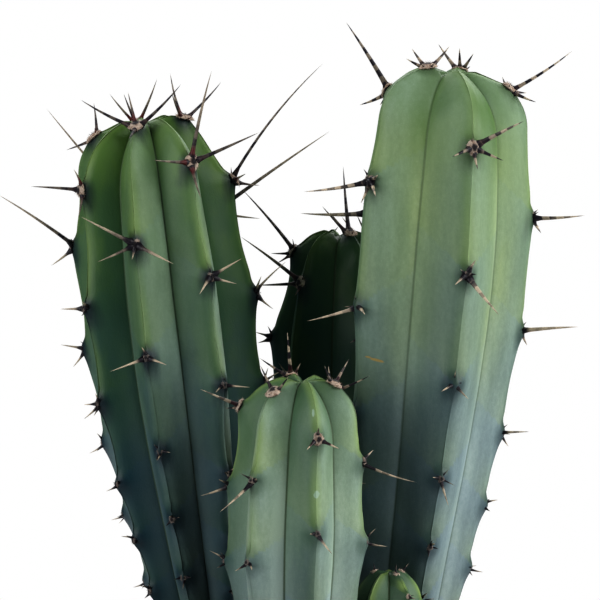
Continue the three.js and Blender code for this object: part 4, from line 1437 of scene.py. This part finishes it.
def pot_tree():
    """Turns an outline about the Z axis, with rounded edges and drainage holes."""
    inputs = {"Sides": 160, "Steps": 120, "Edge Radius": 1.4, "Holes": DRAIN_HOLES}
    inputs |= {"Hole Radius": float(DRAIN_RADIUS), "Ring Radius": float(DRAIN_RING_RADIUS)}
    nodes, given = new_growth("turn pot", inputs)
    curve = nodes.add("GeometryNodeMeshToCurve", {"Mesh": given["Geometry"]})
    feeds = {"Curve": curve, "Radius": given["Edge Radius"] * MM, "Count": 3, "Limit Radius": True}
    curve = nodes.add("GeometryNodeFilletCurve", feeds, mode="POLY")
    feeds = {"Size X": 1.0, "Size Y": 1.0, "Vertices X": given["Sides"] + 1, "Vertices Y": given["Steps"]}
    grid = nodes.add("GeometryNodeMeshGrid", feeds, "Mesh")
    parts = nodes.parts(nodes.position())
    turn = (parts["X"] + 0.5) * (-2 * math.pi)
    feeds = {"Curves": curve, "Factor": parts["Y"] + 0.5}
    spot = nodes.parts(nodes.add("GeometryNodeSampleCurve", feeds, "Position", mode="FACTOR"))
    feeds = {0: spot["X"] * nodes.math("COSINE", turn), 1: spot["X"] * nodes.math("SINE", turn), 2: spot["Z"]}
    pot = nodes.moved(grid, nodes.add("ShaderNodeCombineXYZ", feeds))
    pot = nodes.add("GeometryNodeMergeByDistance", {"Geometry": pot, "Distance": 0.00001})
    feeds = {"Vertices": 24, "Radius": given["Hole Radius"] * MM, "Depth": 4 * WALL * MM}
    drill = nodes.add("GeometryNodeMeshCylinder", feeds, "Mesh")
    feeds = {"Resolution": given["Holes"], "Radius": given["Ring Radius"] * MM}
    ring = nodes.add("GeometryNodeCurvePrimitiveCircle", feeds, "Curve")
    between = nodes.add("ShaderNodeCombineXYZ", {2: math.pi / given["Holes"]})
    ring = nodes.add("GeometryNodeTransform", {"Geometry": ring, "Rotation": between})
    feeds = {"Mesh 1": pot, "Mesh 2": nodes.realized(nodes.instances(ring, drill))}
    pot = nodes.add("GeometryNodeMeshBoolean", feeds, operation="DIFFERENCE")
    return nodes.finish(pot, given["Material"])


def clay_material():
    """Fired clay with turning marks, fine grain and a pale bloom of lime towards the foot."""
    finish = Finish("fired clay", 0.85)
    place, clay, lime = finish.object_place(), rgba(settings("pot").clay), rgba(settings("pot").lime)
    patches, specks, grain = mottled(finish, place, 30.0, 1.1)
    low = finish.parts(place)["Z"].rise(0.01, 0.1, 0.62, 0.42)
    salts = (finish.noise(place, 16, 6.0, 0.65) + (low - 0.5)).rise(0.5, 0.72, 0, 0.6)
    color = finish.blend(patches, clay, finish.tint(clay, (0.72, 0.66, 0.62)))
    color = finish.blend(salts, color, lime)
    color = finish.blend(specks * 0.25, color, (0.2, 0.09, 0.05, 1))
    turning = finish.noise(place * (0.04, 0.04, 1.0), 1 / 0.7)
    return finish.done(color, turning * 0.7 + grain * 0.5, 0.4)


class CACTUS_OT_turn_pot(bpy.types.Operator):
    """Turns the clay pot from its outline, with geometry nodes"""

    bl_idname = "cactus.turn_pot"
    bl_label = "Turn Pot"

    def execute(self, context):
        pot = settings("pot")
        values = {"Sides": pot.sides, "Steps": pot.steps, "Material": clay_material()}
        mesh = grow(pot_outline(), pot_tree(), values)
        mesh.polygons.foreach_set("use_smooth", [True] * len(mesh.polygons))
        add_piece("clay_pot", mesh, replaces=["pot"])
        return {"FINISHED"}


# The lights: (name, azimuth from the front to the right, elevation, distance, width, height, watts). All
# look at the stems.
LIGHTS = [
    ("window", 56, 42, 1.3, 0.6, 1.0, 11.5),
    ("right_wall", 83, 5, 1.3, 0.9, 0.6, 12.8),
    ("left_wall", -54, 17, 1.3, 0.9, 1.2, 15.4),
    ("behind_right", 150, 35, 1.3, 0.8, 0.8, 6.5),
    ("behind_left", -150, 35, 1.3, 0.8, 0.8, 6.5),
]


def stand_round(thing, target, azimuth, elevation, distance):
    """Puts a light or a camera round the target, and aims it there: azimuth 0 in front, 90 to the right."""
    a, e = math.radians(azimuth), math.radians(elevation)
    away = Vector((math.sin(a) * math.cos(e), -math.cos(a) * math.cos(e), math.sin(e)))
    thing.location = target + away * distance
    thing.rotation_euler = (target - thing.location).to_track_quat("-Z", "Y").to_euler()


def white_room():
    """Surroundings that are white to look at and give a soft light."""
    world = bpy.data.worlds.new("white room")
    world.use_nodes = True
    nodes = Nodes(world.node_tree)
    seen = nodes.add("ShaderNodeLightPath", out="Is Camera Ray")
    background = world.node_tree.nodes["Background"]
    nodes.feed(background.inputs["Color"], nodes.blend(seen, (0.02, 0.045, 0.085, 1), (1, 1, 1, 1)))
    return world


def lay_floor(radius, sides=96):
    """The pale round floor."""
    x, y = ring_turns(sides)
    mesh = new_mesh("floor", np.stack([x, y, 0 * x], -1) * radius / MM, [tuple(range(sides))])
    finish = Finish("pale floor", 0.8)
    finish.shader["Base Color"].default_value = (0.8, 0.8, 0.79, 1)
    mesh.materials.append(finish.material)
    floor = link("floor", mesh)


class CACTUS_OT_light_stage(bpy.types.Operator):
    """Lays the pale floor and sets the lights, the white surroundings and the camera"""

    bl_idname = "cactus.light_stage"
    bl_label = "Light Stage"

    def execute(self, context):
        stage, scene = settings("stage"), context.scene
        target = Vector((0, 0, stage.look_height))
        for name, azimuth, elevation, distance, width, height, watts in LIGHTS:
            light = bpy.data.lights.new(name, "AREA")
            light.shape = "RECTANGLE"
            light.size, light.size_y, light.energy = width, height, watts
            stand_round(link(name, light), target, azimuth, elevation, distance)
        scene.world = white_room()
        lay_floor(stage.floor_radius)
        lens = bpy.data.cameras.new("camera")
        lens.sensor_width = 36
        lens.lens = lens.sensor_width * stage.distance / stage.width
        lens.clip_start = 0.05
        scene.camera = link("camera", lens)
        stand_round(scene.camera, target, 0, math.degrees(stage.elevation), stage.distance)
        scene.view_settings.view_transform = "Standard"
        scene.view_settings.gamma = 0.72
        return {"FINISHED"}


class CACTUS_PT_panel(bpy.types.Panel):
    """Lists the steps that make the potted cactus"""

    bl_label = "Potted Cactus"
    bl_idname = "CACTUS_PT_panel"
    bl_space_type = "VIEW_3D"
    bl_region_type = "UI"
    bl_category = "Cactus"

    def draw(self, context):
        for name, (kind, operators) in STEPS.items():
            box = self.layout.box()
            group = getattr(context.scene, "cactus_" + name)
            for key in kind.__annotations__:
                box.prop(group, key)
            for operator in operators:
                box.operator(operator.bl_idname)


# What the panel lists: each group of settings, and the steps that use it, in the order in which they are
# made.
STEPS = {
    "stage": (StageSettings, [CACTUS_OT_light_stage]),
    "skin": (SkinSettings, [CACTUS_OT_grow_skins]),
    "spine": (SpineSettings, [CACTUS_OT_set_spines]),
    "wool": (WoolSettings, [CACTUS_OT_set_wool]),
    "soil": (SoilSettings, [CACTUS_OT_fill_soil, CACTUS_OT_scatter_grit]),
    "pot": (PotSettings, [CACTUS_OT_turn_pot]),
}


def register():
    for name, (kind, operators) in STEPS.items():
        bpy.utils.register_class(kind)
        setattr(bpy.types.Scene, "cactus_" + name, PointerProperty(type=kind))
        for operator in operators:
            bpy.utils.register_class(operator)
    bpy.utils.register_class(CACTUS_PT_panel)


def unregister():
    bpy.utils.unregister_class(CACTUS_PT_panel)
    for name, (kind, operators) in reversed(STEPS.items()):
        for operator in reversed(operators):
            bpy.utils.unregister_class(operator)
        delattr(bpy.types.Scene, "cactus_" + name)
        bpy.utils.unregister_class(kind)


def main():
    register()
    for kind, operators in STEPS.values():
        for operator in operators:
            area, step = operator.bl_idname.split(".")
            getattr(getattr(bpy.ops, area), step)()


if __name__ == "__main__":
    main()
